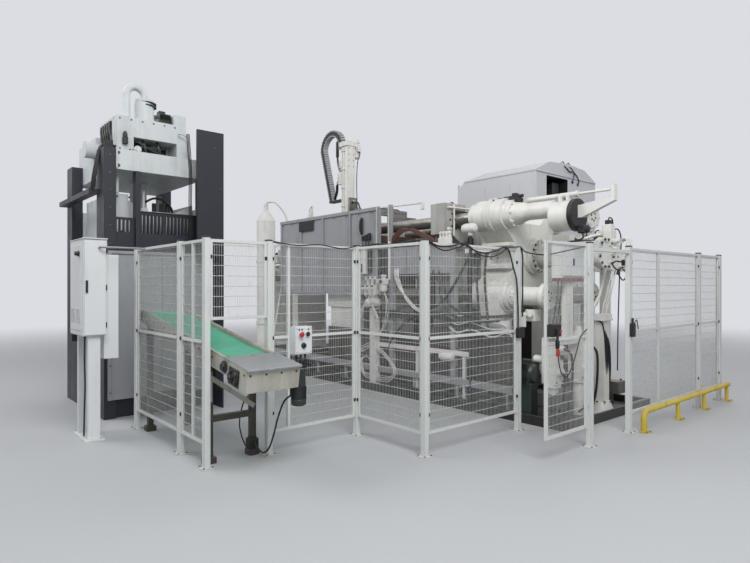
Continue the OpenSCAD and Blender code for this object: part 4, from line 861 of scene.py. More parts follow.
@dataclass
class OutfeedConveyor:
    """The sloping belt conveyor: bearings, bolts, cover sheet, gear cluster, motor trim and its cable."""

    foot: Point = (3.48, -4.57, 0.975)
    tilt: float = 9.4
    half: float = 0.265
    run: float = 2.815

    def slope(self) -> Matrix:
        """Gives the conveyor's own frame, with X down the slope and Z square to the belt."""
        return Matrix.Translation(self.foot) @ Matrix.Rotation(math.radians(self.tilt), 4, "Y")

    def at(self, x: float, y: float, z: float) -> Vector:
        """Gives a place in the conveyor's own frame."""
        return self.slope() @ Vector((x, y, z))

    def way(self, x: float, y: float, z: float) -> Vector:
        """Gives a direction in the conveyor's own frame."""
        return self.slope().to_3x3() @ Vector((x, y, z))

    def build(self) -> None:
        """Builds the conveyor's fine parts."""
        slope = self.slope()
        sheet = Forge()
        # Cover sheet, creased across and curled at its low edge
        sheet.plate([(-0.44, 0.039), (-0.43, 0.041), (0.02, 0.041), (0.034, 0.034), (0.038, 0.02), (0.036, 0.02),
                     (0.032, 0.033), (0.02, 0.038), (-0.43, 0.0385)], 2 * self.half + 0.03,
                    slope @ stand((0, self.half + 0.015, 0), NEAR, ALONG))
        sheet.write("conveyor_cover_sheet", GALVANISED, "conveyor_paint")
        trim = Forge()
        for side in (-1, 1):
            y = side * self.half
            # Folded lip on the rail, and the stiffener under it
            trim.block((-self.run, y - 0.012 - 0.006 * side, 0.028), (-0.44, y + 0.012 - 0.006 * side, 0.036), 0.003,
                       slope)
            y0, y1 = sorted((y, y + side * 0.008))
            trim.block((-self.run + 0.02, y0 - 0.002, -0.122), (-0.34, y1 + 0.002, -0.108), 0.002, slope)
            y0, y1 = sorted((y, y + side * 0.012))
            for x in (-2.3, -1.55, -0.8):
                trim.block((x - 0.03, y0 - 0.001, -0.118), (x + 0.03, y1 + 0.001, 0.026), 0.003, slope)
        trim.write("conveyor_rail_lips", CONVEYOR_BEIGE, "conveyor_paint")
        dark = Forge()
        for x in (-self.run + 0.09, -0.42):
            for side in (-1, 1):
                y = side * (self.half + 0.004)
                hub, out = self.at(x, y, -0.05), self.way(0, side, 0)
                dark.turned(hub, out, ((0, 0.055), (0.012, 0.055), (0.018, 0.036), (0.034, 0.034), (0.036, 0.02)), 20)
                dark.ring(hub + out * 0.011, out, 0.045, 4, 0.008)
        # Chain wheels, tensioner and plate at the near side of the low box
        dark.block((-0.318, -self.half - 0.012, -0.172), (-0.115, -self.half - 0.006, -0.01), 0.002, slope)
        for x, z, r in ((-0.27, -0.11, 0.042), (-0.17, -0.06, 0.05), (-0.165, -0.13, 0.022)):
            hub = self.at(x, -self.half - 0.01, z)
            dark.turned(hub, self.way(0, -1, 0),
                        ((0, r), (0.012, r), (0.014, r * 0.55), (0.028, r * 0.45), (0.03, r * 0.2)), 22)
        dark.tube([self.at(x, -self.half - 0.02, z) for x, z in ((-0.3, -0.14), (-0.25, -0.155), (-0.17, -0.155),
                                                                 (-0.125, -0.1), (-0.13, -0.04), (-0.18, -0.012),
                                                                 (-0.28, -0.06), (-0.313, -0.1))], 0.006)
        dark.write("conveyor_bearings", LOCK_BLACK, "motor_paint")
        heads = Forge()
        for side in (-1, 1):
            out = self.way(0, side, 0)
            rail, box = side * (self.half + 0.001), side * (self.half + 0.008)
            heads.row(self.at(-2.6, rail, -0.03), self.at(-0.7, rail, -0.03), out, 7, 0.009)
            heads.row(self.at(-0.3, box, -0.02), self.at(-0.03, box, -0.02), out, 3, 0.008)
        for x, edge, z, out, count, head in ((0.012, self.half - 0.03, -0.02, self.way(1, 0, 0), 4, 0.008),
                                             (-0.40, self.half - 0.02, 0.041, self.way(0, 0, 1), 3, 0.006)):
            heads.row(self.at(x, -edge, z), self.at(x, edge, z), out, count, head)
        heads.write("conveyor_bolts", BOLT_STEEL, "conveyor_paint")
        # Flat strap across the legs, and the cleat that holds it
        brace = Forge()
        strap = stand((2.682, -4.8, 0.84), ALONG, (0, 0.46, -0.33))
        brace.plate([(-0.02, -0.024), (0.58, -0.024), (0.58, 0.024), (-0.02, 0.024)], 0.007, strap)
        brace.block((2.676, -4.845, 0.6), (2.684, -4.785, 0.9), 0.003)
        brace.write("conveyor_braces", CONVEYOR_BEIGE, "leg_paint")
        self.drive()

    def drive(self) -> None:
        """Adds the motor's fins, fan cowl and cable gland, and the cable down to the switch at the leg."""
        x = self.foot[0] - 0.125
        y = self.foot[1] + self.half + 0.008 + 0.075
        motor = Forge()
        for angle in angles(22):
            spot = Matrix.Translation((x + 0.066 * math.cos(angle), y + 0.066 * math.sin(angle), 0.0))
            motor.block((-0.0015, -0.007, 0.655), (0.0015, 0.007, 0.785), 0.0005,
                        spot @ Matrix.Rotation(angle + math.pi / 2, 4, "Z"))
        motor.turned((x, y, 0.662), DOWN, ((0, 0.068), (0.006, 0.072), (0.05, 0.071), (0.062, 0.058), (0.064, 0.03)),
                     28)
        motor.write("conveyor_motor_fins", MOTOR_GREEN, "motor_paint")
        black = Forge()
        black.turned((x - 0.06, y - 0.01, 0.7), (-1, 0, -0.2),
                     ((0, 0.014), (0.03, 0.014), (0.034, 0.01), (0.05, 0.009)), 12)
        black.tube([(x - 0.1, y - 0.01, 0.69), (3.2, -4.29, 0.62), (3.1, -4.3, 0.44), (3.04, -4.31, 0.27),
                    (2.97, -4.32, 0.13), (2.88, -4.33, 0.06), (2.78, -4.335, 0.075), (2.70, -4.34, 0.12)], 0.009)
        black.block((2.60, -4.39, 0.05), (2.70, -4.28, 0.17), 0.012)
        black.turned((2.65, -4.335, 0.165), UP, ((0, 0.045), (0.02, 0.045), (0.04, 0.03), (0.05, 0.03)), 20)
        black.tube([(2.62, -4.34, 0.12), (2.5, -4.33, 0.05), (2.42, -4.36, 0.25), (2.5, -4.36, 0.5),
                    (2.63, -4.345, 0.62)], 0.007)
        black.write("conveyor_motor_cable", HOSE_RUBBER, "motor_paint")


@dataclass
class SprayUnit:
    """The spray unit: chain links, drive, valves and hoses on the mast, and the fittings of its arm."""

    centre: Point = (-1.025, -0.575, 4.425)
    radius: float = 0.3
    foot: float = 3.405
    pitch: float = 0.05
    link: Point = (0.102, 0.122, 0.036)
    drive: Point = (-0.54, -0.38, 4.475)
    valves: tuple[float, ...] = (3.715, 3.77, 3.825, 3.88)

    def chain(self) -> None:
        """Lays links along the loop that the frame holds."""
        x, y, z = self.centre
        turns = [math.pi * k / 28 for k in range(1, 28)]
        route = [(x, y, self.foot), (x - self.radius, y, z)]
        route += [(x - self.radius * math.cos(t), y, z + self.radius * math.sin(t)) for t in turns]
        route += [(x + self.radius, y, z), (x + self.radius, y, z - 0.03)]
        curve = bpy.data.curves.new("chain_path", "CURVE")
        curve.dimensions = "3D"
        spline = curve.splines.new("POLY")
        spline.points.add(len(route) - 1)
        for point, place in zip(spline.points, route):
            point.co = (*place, 1.0)
        mesh = link_tree().run(curve, Pitch=self.pitch, Size=self.link)
        settle(mesh, "energy_chain_links", CHAIN_GREY)

    def mast(self) -> None:
        """Adds the drive, valves, pipes, cables and bolts that the mast carries."""
        x, y = self.drive[:2]
        light = Forge()
        light.turned(self.drive, UP, ((0, 0.05), (0.008, 0.062), (0.06, 0.062), (0.078, 0.044), (0.08, 0.02)))
        light.turned((x, y, 4.2), UP, ((0, 0.05), (0.004, 0.066), (0.03, 0.066), (0.034, 0.055)))
        light.block((x + 0.045, y - 0.035, 4.3), (x + 0.1, y + 0.035, 4.4), 0.008)
        for angle in angles(18):
            turn = Matrix.Translation((x, y, 0)) @ Matrix.Rotation(angle, 4, "Z")
            light.block((0.053, -0.002, 4.25), (0.064, 0.002, 4.44), 0.0008, turn)
        for z in self.valves:
            light.block((-0.8, -0.645, z - 0.022), (-0.738, -0.505, z + 0.022), 0.005)
        for z in (4.03, 4.075, 4.12):
            light.block((-0.77, -0.63, z - 0.018), (-0.718, -0.52, z + 0.018))
        for pipe in (-0.6, -0.555):
            light.tube([(pipe, -0.683, 3.07), (pipe, -0.683, 3.7), (pipe, -0.683, 4.36)], 0.01)
        for z in (3.25, 3.6, 3.95, 4.3):
            light.block((-0.625, -0.697, z - 0.012), (-0.53, -0.664, z + 0.012), 0.003)
        light.block((-0.84, -0.62, 2.998), (-0.77, -0.52, 3.1), 0.006)
        light.write("spray_mast_valves_and_drive", IVORY, "machine_ivory")
        dark = Forge()
        for k, z in enumerate(self.valves):
            dark.block((-0.838, -0.635 + 0.02 * k, z - 0.014), (-0.798, -0.6 + 0.02 * k, z + 0.014), 0.003)
            dark.tube([(-0.83, -0.615 + 0.02 * k, z), (-0.88, -0.61 + 0.018 * k, z - 0.04),
                       (-0.9, -0.6 + 0.016 * k, 3.58), (-0.95, -0.6 + 0.014 * k, 3.46),
                       (-0.99, -0.6 + 0.014 * k, 3.4)], 0.007)
        # Cable joint that hangs inside the chain's loop
        dark.turned((-0.885, -0.575, 4.56), DOWN, ((0, 0.012), (0.03, 0.03), (0.3, 0.03), (0.335, 0.014)), 16)
        dark.tube([(-0.885, -0.575, 4.66), (-0.885, -0.575, 4.6), (-0.885, -0.575, 4.55)], 0.01)
        for k in (-1, 0, 1):
            dark.tube([(-0.885, -0.575 + 0.012 * k, 4.24), (-0.86, -0.575 + 0.02 * k, 4.1),
                       (-0.8, -0.575 + 0.025 * k, 3.97), (-0.75, -0.575 + 0.03 * k, 3.94),
                       (-0.72, -0.575 + 0.03 * k, 3.915)], 0.006)
        dark.block((-0.505, -0.45, 3.062), (-0.455, -0.39, 3.17), 0.006)
        dark.tube([(-0.48, -0.42, 3.16), (-0.46, -0.4, 3.22), (-0.43, -0.36, 3.18), (-0.42, -0.33, 3.06),
                   (-0.42, -0.32, 2.995)], 0.011)
        dark.tube([(x + 0.09, y, 4.31), (x + 0.11, y, 4.25), (x + 0.06, y - 0.02, 4.1), (-0.47, y - 0.05, 3.7),
                   (-0.46, y - 0.04, 3.17)], 0.008)
        dark.write("spray_mast_cables", HOSE_RUBBER, "lock_plastic")
        heads = Forge()
        for side in (-0.74, -0.41):
            heads.row((-0.71, side, 3.065), (-0.48, side, 3.065), UP, 3, 0.014)
        for side in (-0.63, -0.52):
            heads.row((-0.4485, side, 4.0), (-0.4485, side, 4.34), ALONG, 4, 0.007)
        heads.write("spray_mast_bolts", BOLT_STEEL, "machine_ivory")

    def arm(self) -> None:
        """Adds the hoses and screws that travel with the arm."""
        hoses = Forge()
        for y, end in ((-0.607, -0.42), (-0.545, -0.25), (-0.528, -0.08)):
            hoses.hose([(-0.375, y, 3.31), (-0.3, y, 3.3), (-0.22, y, 3.17), (-0.1, y, 3.128), (0.1, y, 3.127),
                        (0.24, y + 0.02, 3.135), (0.31, end - 0.06, 3.14), (0.33, end, 3.125)], 0.009)
        hoses.write("spray_arm_hoses", HOSE_RUBBER, "lock_plastic", "spray_carriage")
        heads = Forge()
        heads.row((0.4, -0.46, 3.06), (0.4, 0.03, 3.06), ALONG, 7, 0.008)
        for z in (3.38, 3.16):
            heads.row((-0.389, -0.64, z), (-0.389, -0.51, z), ALONG, 3, 0.008)
        heads.write("spray_arm_screws", BOLT_STEEL, "platen_steel", "spray_carriage")

    def build(self) -> None:
        """Builds the spray unit's fine parts."""
        self.chain()
        self.mast()
        self.arm()


@dataclass
class TrimPress:
    """The trim press: guide strips, pipes, motor, valves, cables, handles and bolts."""

    near: float = -5.085
    far: float = -3.57
    front: float = 0.1

    def columns(self) -> None:
        """Adds the guide strips, cables and bolts of the columns."""
        ways = Forge()
        ways.block((self.front - 0.022, -4.938, 3.29), (self.front - 0.006, -4.912, 3.56), 0.003)
        ways.block((self.front - 0.035, -3.918, 3.285), (self.front - 0.019, -3.815, 3.5))
        ways.write("press_way_strips", PRESS_LIGHT, "press_light")
        black = Forge()
        for k in range(3):
            x, y = 0.086 + 0.011 * k, -3.955 + 0.014 * k
            black.tube([(x, y - 0.03, 3.9), (x, y - 0.006, 3.6), (x, y + 0.01, 3.3), (x, y + 0.005, 2.95),
                        (x, y + 0.012, 2.79), (x + 0.02, y + 0.005, 2.45), (x + 0.022, y, 2.19)], 0.006)
        # Cables out of the duct on the near side
        for k in range(4):
            black.tube([(-0.25 + 0.05 * k, -5.15, 3.03), (-0.22 + 0.05 * k, -5.14, 3.2),
                        (-0.2 + 0.04 * k, -5.1, 3.45), (-0.18 + 0.04 * k, -5.06, 3.6),
                        (-0.17 + 0.03 * k, -4.98, 3.63), (-0.16 + 0.03 * k, -4.88, 3.61)], 0.011)
        for k in range(3):
            black.block((-0.1 + 0.06 * k, -5.06, 3.55), (-0.055 + 0.06 * k, -4.96, 3.62 + 0.015 * k), 0.006)
        black.write("press_column_cables", HOSE_RUBBER, "lock_plastic")
        heads = Forge()
        for y in (self.near + 0.075, self.far - 0.075):
            heads.row((self.front, y, 2.3), (self.front, y, 3.45), ALONG, 6, 0.012)
        for z in (3.33, 3.5):
            heads.row((self.front - 0.02, -4.9, z), (self.front - 0.02, -3.76, z), ALONG, 2, 0.016)
        for y in (-3.93, -3.6):
            heads.row((0.4, y, 2.3), (0.4, y, 3.85), ALONG, 2, 0.008)
        heads.write("press_frame_bolts", BOLT_STEEL, "press_dark")

    def slide(self) -> None:
        """Adds what travels with the slide: a stop plate, a limit rod, bolts and pipes."""
        made = Forge()
        made.block((-0.145, -4.875, 2.995), (-0.123, -4.836, 3.235))
        made.rod((-0.3, -4.453, 2.78), (-0.3, -4.453, 3.09), 0.017, 16)
        made.block((-0.36, -4.5, 2.78), (-0.24, -4.41, 2.84), 0.006)
        made.write("press_slide_rod", PRESS_LIGHT, "press_light", "press_slide")
        heads = Forge()
        heads.row((-0.119, -4.8, 2.47), (-0.119, -3.85, 2.47), ALONG, 5, 0.016)
        heads.row((-0.119, -4.86, 2.95), (-0.119, -4.7, 2.95), ALONG, 2, 0.01)
        heads.ring((-0.87, -4.3275, 2.8), UP, 0.17, 10, 0.018)
        heads.write("press_slide_bolts", BOLT_STEEL, "press_light", "press_slide")
        dark = Forge()
        for y, r in ((-4.22, 0.03), (-4.12, 0.022), (-4.02, 0.035)):
            dark.rod((-0.55, y, 2.79), (-0.55, y, 2.96), r, 16)
        dark.tube([(-0.5, -4.38, 2.95), (-0.45, -4.25, 3.02), (-0.45, -4.1, 2.99), (-0.5, -3.98, 2.9),
                   (-0.55, -3.95, 2.8)], 0.016)
        dark.write("press_slide_pipes", LOCK_BLACK, "press_dark", "press_slide")

    def unit(self) -> None:
        """Adds the motor, valves, rack and pipes of the hydraulic unit on the crown."""
        dark = Forge()
        dark.turned((-0.62, -4.22, 4.18), FAR,
                    ((0, 0.05), (0.005, 0.1), (0.05, 0.115), (0.25, 0.115), (0.26, 0.09), (0.262, 0.04)), 28)
        dark.slats((-0.62, -4.15, 4.18), (-0.62, -3.99, 4.18), UP, 12, (0.004, 0.246, 0.246))
        dark.block((-0.7, -4.2, 4.04), (-0.54, -3.98, 4.1), 0.006)
        dark.block((-0.67, -4.14, 4.28), (-0.57, -4.04, 4.36), 0.01)
        # Valve on the front and the dark rack in the near side
        dark.block((-0.1, -4.805, 3.66), (-0.05, -4.735, 3.76), 0.008)
        dark.turned((-0.075, -4.77, 3.76), UP, ((0, 0.03), (0.045, 0.03), (0.05, 0.02), (0.07, 0.02), (0.072, 0.01)),
                    14)
        dark.block((-0.78, -4.878, 3.64), (-0.24, -4.868, 4.01), 0.003)
        for k in range(5):
            x = -0.72 + 0.1 * k
            dark.tube([(x - 0.03, -4.89, 4.0), (x, -4.9, 3.9), (x + 0.05, -4.9, 3.78), (x + 0.06, -4.89, 3.65)],
                      0.018)
        # Pipes behind the wide opening
        for y0, z0, y1, z1 in ((-4.6, 3.76, -4.2, 3.6), (-4.56, 3.68, -4.15, 3.72), (-4.5, 3.78, -4.45, 3.58),
                               (-4.3, 3.78, -4.25, 3.57)):
            dark.tube([(-0.2, y0, z0), (-0.17, (2 * y0 + y1) / 3, (2 * z0 + z1) / 3 - 0.02),
                       (-0.17, (y0 + 2 * y1) / 3, (z0 + 2 * z1) / 3 - 0.03), (-0.2, y1, z1)], 0.018)
        dark.turned((-0.2, -4.4, 3.67), FAR, ((0, 0.03), (0.01, 0.05), (0.12, 0.05), (0.13, 0.03)), 18)
        dark.block((-0.43, -4.63, 3.55), (-0.42, -4.09, 3.78), 0.002)
        dark.write("press_unit_dark_parts", MOTOR_GREEN, "press_dark")
        light = Forge()
        light.block((-0.78, -3.97, 4.03), (-0.42, -3.79, 4.3), 0.01)
        light.turned((-0.14, -4.62, 3.6), ALONG, ((0, 0.05), (0.12, 0.05), (0.13, 0.035), (0.15, 0.035)), 18)
        light.turned((-0.9, -4.0, 4.02), UP, ((0, 0.06), (0.1, 0.06), (0.12, 0.04)), 18)
        # Frame around the rack
        for x0, x1, out, z0, z1 in ((-0.82, -0.76, -4.885, 3.6, 4.05), (-0.27, -0.22, -4.885, 3.6, 4.05),
                                    (-0.82, -0.22, -4.886, 4.0, 4.05), (-0.82, -0.22, -4.886, 3.6, 3.65)):
            light.block((x0, out, z0), (x1, -4.866, z1))
        light.tube([(-0.12, -4.04, 3.93), (-0.085, -3.98, 3.93), (-0.085, -3.9, 3.88), (-0.09, -3.88, 3.7),
                    (-0.12, -3.87, 3.6)], 0.012)
        light.write("press_unit_light_parts", PRESS_LIGHT, "press_light")
        low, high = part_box("press_filter_pipe")
        rings = Forge()
        x = (low.x + high.x) / 2
        for z in (high.z - 0.31, high.z - 0.27):
            rings.turned((x, low.y + 0.348, z), UP, ((0, 0.12), (0.002, 0.138), (0.02, 0.138), (0.022, 0.12)), 32)
        rings.write("press_filter_clamps", LOCK_BLACK, "press_dark")
        heads = Forge()
        heads.row((-0.1, -4.83, 4.01), (-0.1, -4.08, 4.01), ALONG, 6, 0.009)
        heads.row((-0.1, -4.83, 3.6), (-0.1, -4.7, 3.6), ALONG, 2, 0.009)
        heads.write("press_unit_bolts", BOLT_STEEL, "press_light")

    def doors(self) -> None:
        """Adds handles to the lift door, bolts to the front cover and studs to the side panel."""
        door = Forge()
        for y in (-4.33, -4.1):
            door.tube([(0.066, y - 0.07, 2.2), (0.1, y - 0.06, 2.2), (0.1, y + 0.06, 2.2), (0.066, y + 0.07, 2.2)],
                      0.009)
        door.block((0.064, -4.64, 2.735), (0.074, -3.73, 2.752), 0.003)
        door.write("press_door_handles", LOCK_BLACK, "press_dark", "press_door")
        cover = Forge()
        for y in (-5.02, -3.64):
            cover.row((0.1455, y, 0.35), (0.1455, y, 2.1), ALONG, 6, 0.008)
        cover.write("press_cover_bolts", BOLT_STEEL, "guard_sheet")
        knob = Forge()
        knob.turned((0.4, -3.62, 3.1), ALONG, ((0, 0.012), (0.01, 0.014), (0.014, 0.01)), 14)
        knob.turned((0.4, -3.7, 3.68), ALONG, ((0, 0.01), (0.006, 0.01), (0.008, 0.006)), 14)
        knob.write("press_side_panel_studs", BOLSTER_STEEL, "press_dark")

    def build(self) -> None:
        """Builds the press's fine parts."""
        self.columns()
        self.slide()
        self.unit()
        self.doors()


@dataclass
class ControlCabinet:
    """The press's control cabinet: doors, hinges, handle, vents, cables and the conduit to the fence."""

    def build(self) -> None:
        """Adds what the cabinet carries."""
        low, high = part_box("control_cabinet")
        x1, y0, y1 = high.x, low.y + 0.006, -5.325
        door = Forge()
        door.block((x1, y0 + 0.008, 1.19), (x1 + 0.018, y1 - 0.008, 2.25), 0.005)
        door.block((x1 - 0.012, y0 - 0.008, 2.262), (x1 + 0.02, y1 + 0.01, 2.275), 0.003)
        door.block((low.x - 0.01, y0 - 0.01, 2.259), (x1 + 0.012, y1 + 0.01, 2.27))
        door.block((0.6, low.y - 0.008, 1.24), (1.06, low.y + 0.004, 2.2))
        door.write("cabinet_doors", CABINET_WHITE, "cabinet_paint")
        vents = Forge()
        for x in (0.7, 0.94):
            vents.slats((x, low.y - 0.01, 1.34), (x, low.y - 0.01, 1.48), NEAR, 9, (0.008, 0.16, 0.008), 0.5)
        vents.write("cabinet_vents", CABINET_WHITE, "cabinet_paint")
        dark = Forge()
        dark.turned((0.98, low.y - 0.006, 2.1), NEAR,
                    ((0, 0.03), (0.012, 0.034), (0.02, 0.026), (0.045, 0.022), (0.047, 0.01)), 20)
        dark.block((x1 + 0.017, y0 + 0.02, 1.66), (x1 + 0.034, y0 + 0.045, 1.8), 0.005)
        for z in (1.3, 1.72, 2.14):
            dark.rod((x1 + 0.012, y1 - 0.004, z - 0.03), (x1 + 0.012, y1 - 0.004, z + 0.03), 0.008, 10)
        for k in range(4):
            y = y0 + 0.05 + 0.045 * k
            dark.turned((0.96, y, 1.18), DOWN, ((0, 0.016), (0.016, 0.016), (0.02, 0.011), (0.04, 0.01)), 12)
            dark.tube([(0.96, y, 1.15), (0.95, y, 0.9), (0.93, y + 0.01, 0.6), (0.9, y + 0.01, 0.3),
                       (0.88, y + 0.01, 0.03)], 0.009)
        dark.write("cabinet_handles_and_cables", LOCK_BLACK, "cabinet_paint")
        panel = Forge()
        panel.block((0.57, -5.165, 1.5), (0.95, -5.157, 1.98), 0.003)
        panel.write("cabinet_rear_cover", GALVANISED, "cabinet_paint")
        # Steel conduit across to the fence
        pipe = Forge()
        pipe.tube([(1.09, -5.4, 2.17), (1.16, -5.4, 2.17), (1.2, -5.3, 2.17), (1.2, -5.05, 2.17), (1.2, -4.93, 2.17)],
                  0.012)
        pipe.write("cabinet_conduit", GALVANISED, "cabinet_paint")


@dataclass
class HydraulicHousing:
    """The housing behind the machine: its open end, seams, hinges, latches, roof trims and cables."""

    x1: float = 2.4
    y0: float = 1.21
    y1: float = 3.21
    recess: float = 0.4

    def build(self) -> None:
        """Adds what the housing carries."""
        dark = Forge()
        # Black lining of the opening: painted shade in the recess
        back, lip = self.x1 - self.recess, self.x1 - 0.006
        for x, y0, y1, z0, z1 in ((back + 0.004, 1.481, 2.219, 3.301, 3.679), (lip, 1.4805, 1.4845, 3.301, 3.679),
                                  (lip, 2.2155, 2.2195, 3.301, 3.679), (lip, 1.481, 2.219, 3.3005, 3.3045),
                                  (lip, 1.481, 2.219, 3.6755, 3.6795)):
            dark.block((back, y0, z0), (x, y1, z1), 0.001)
        dark.write("housing_opening_painted_shade", LOCK_BLACK, "housing_paint")
        gear = Forge()
        gear.rod((self.x1 - 0.2, 1.75, 3.3), (self.x1 - 0.2, 1.75, 3.67), 0.045)
        gear.block((self.x1 - 0.3, 1.92, 3.305), (self.x1 - 0.12, 2.12, 3.62), 0.012)
        gear.write("housing_gear", PRESS_DARK, "housing_paint")
        trim = Forge()
        trim.block((self.x1 - 0.004, 1.475, 3.29), (self.x1 + 0.012, 1.505, 3.69), 0.003)
        trim.block((self.x1 - 0.002, self.y0 + 0.03, 0.1), (self.x1 + 0.006, self.y1 - 0.03, 0.16), 0.002)
        for y in (1.86, 2.55):
            trim.block((self.x1 - 0.002, y - 0.004, 0.2), (self.x1 + 0.005, y + 0.004, 3.26), 0.001)
        for x in (0.8, 1.32, 1.86, 2.38):
            trim.block((x - 0.006, self.y0 - 0.006, 0.12), (x + 0.006, self.y0 + 0.002, 3.55), 0.002)
        for x in (0.66, 2.39):
            trim.block((x - 0.02, self.y0 - 0.004, 0.02), (x + 0.015, self.y0 + 0.03, 3.7), 0.003)
        for y in (1.22, 3.2):
            trim.block((0.8, y - 0.02, 3.722), (self.x1 + 0.015, y + 0.02, 3.742))
        trim.block((self.x1 - 0.01, 1.21, 3.715), (self.x1 + 0.016, 3.21, 3.738))
        for x in (0.95, 1.9):
            trim.slats((x, 3.205, 0.5), (x, 3.205, 1.1), FAR, 16, (0.012, 0.36, 0.02), 0.5)
        trim.write("housing_seams_and_louvres", HOUSING_GREY, "housing_paint")
        black = Forge()
        black.tube([(2.36, 2.05, 3.93), (2.41, 2.12, 3.9), (2.42, 2.25, 3.83), (2.42, 2.36, 3.84), (2.42, 2.48, 3.79),
                    (2.42, 2.57, 3.7), (2.41, 2.56, 3.62)], 0.01)
        black.tube([(2.34, 2.2, 3.96), (2.42, 2.3, 3.9), (2.42, 2.4, 3.82), (2.42, 2.38, 3.72), (2.41, 2.365, 3.67)],
                   0.008)
        black.block((2.398, 2.34, 3.63), (2.42, 2.39, 3.68), 0.005)
        black.block((2.398, 2.535, 3.6), (2.415, 2.575, 3.65))
        for z in (0.5, 1.75, 3.0):
            for y in (1.84, 2.53):
                black.block((self.x1, y - 0.016, z - 0.03), (self.x1 + 0.014, y + 0.016, z + 0.03))
        black.write("housing_cables_and_latches", HOSE_RUBBER, "housing_paint")
        eyes = Forge()
        for x, y in ((2.3, 2.21), (2.3, 2.4), (0.95, 2.21)):
            eyes.tube([(x, y - 0.05, 3.93), (x, y - 0.045, 4.0), (x, y, 4.035), (x, y + 0.045, 4.0),
                       (x, y + 0.05, 3.93)], 0.011)
        eyes.write("housing_lifting_eyes", GALVANISED, "housing_paint")


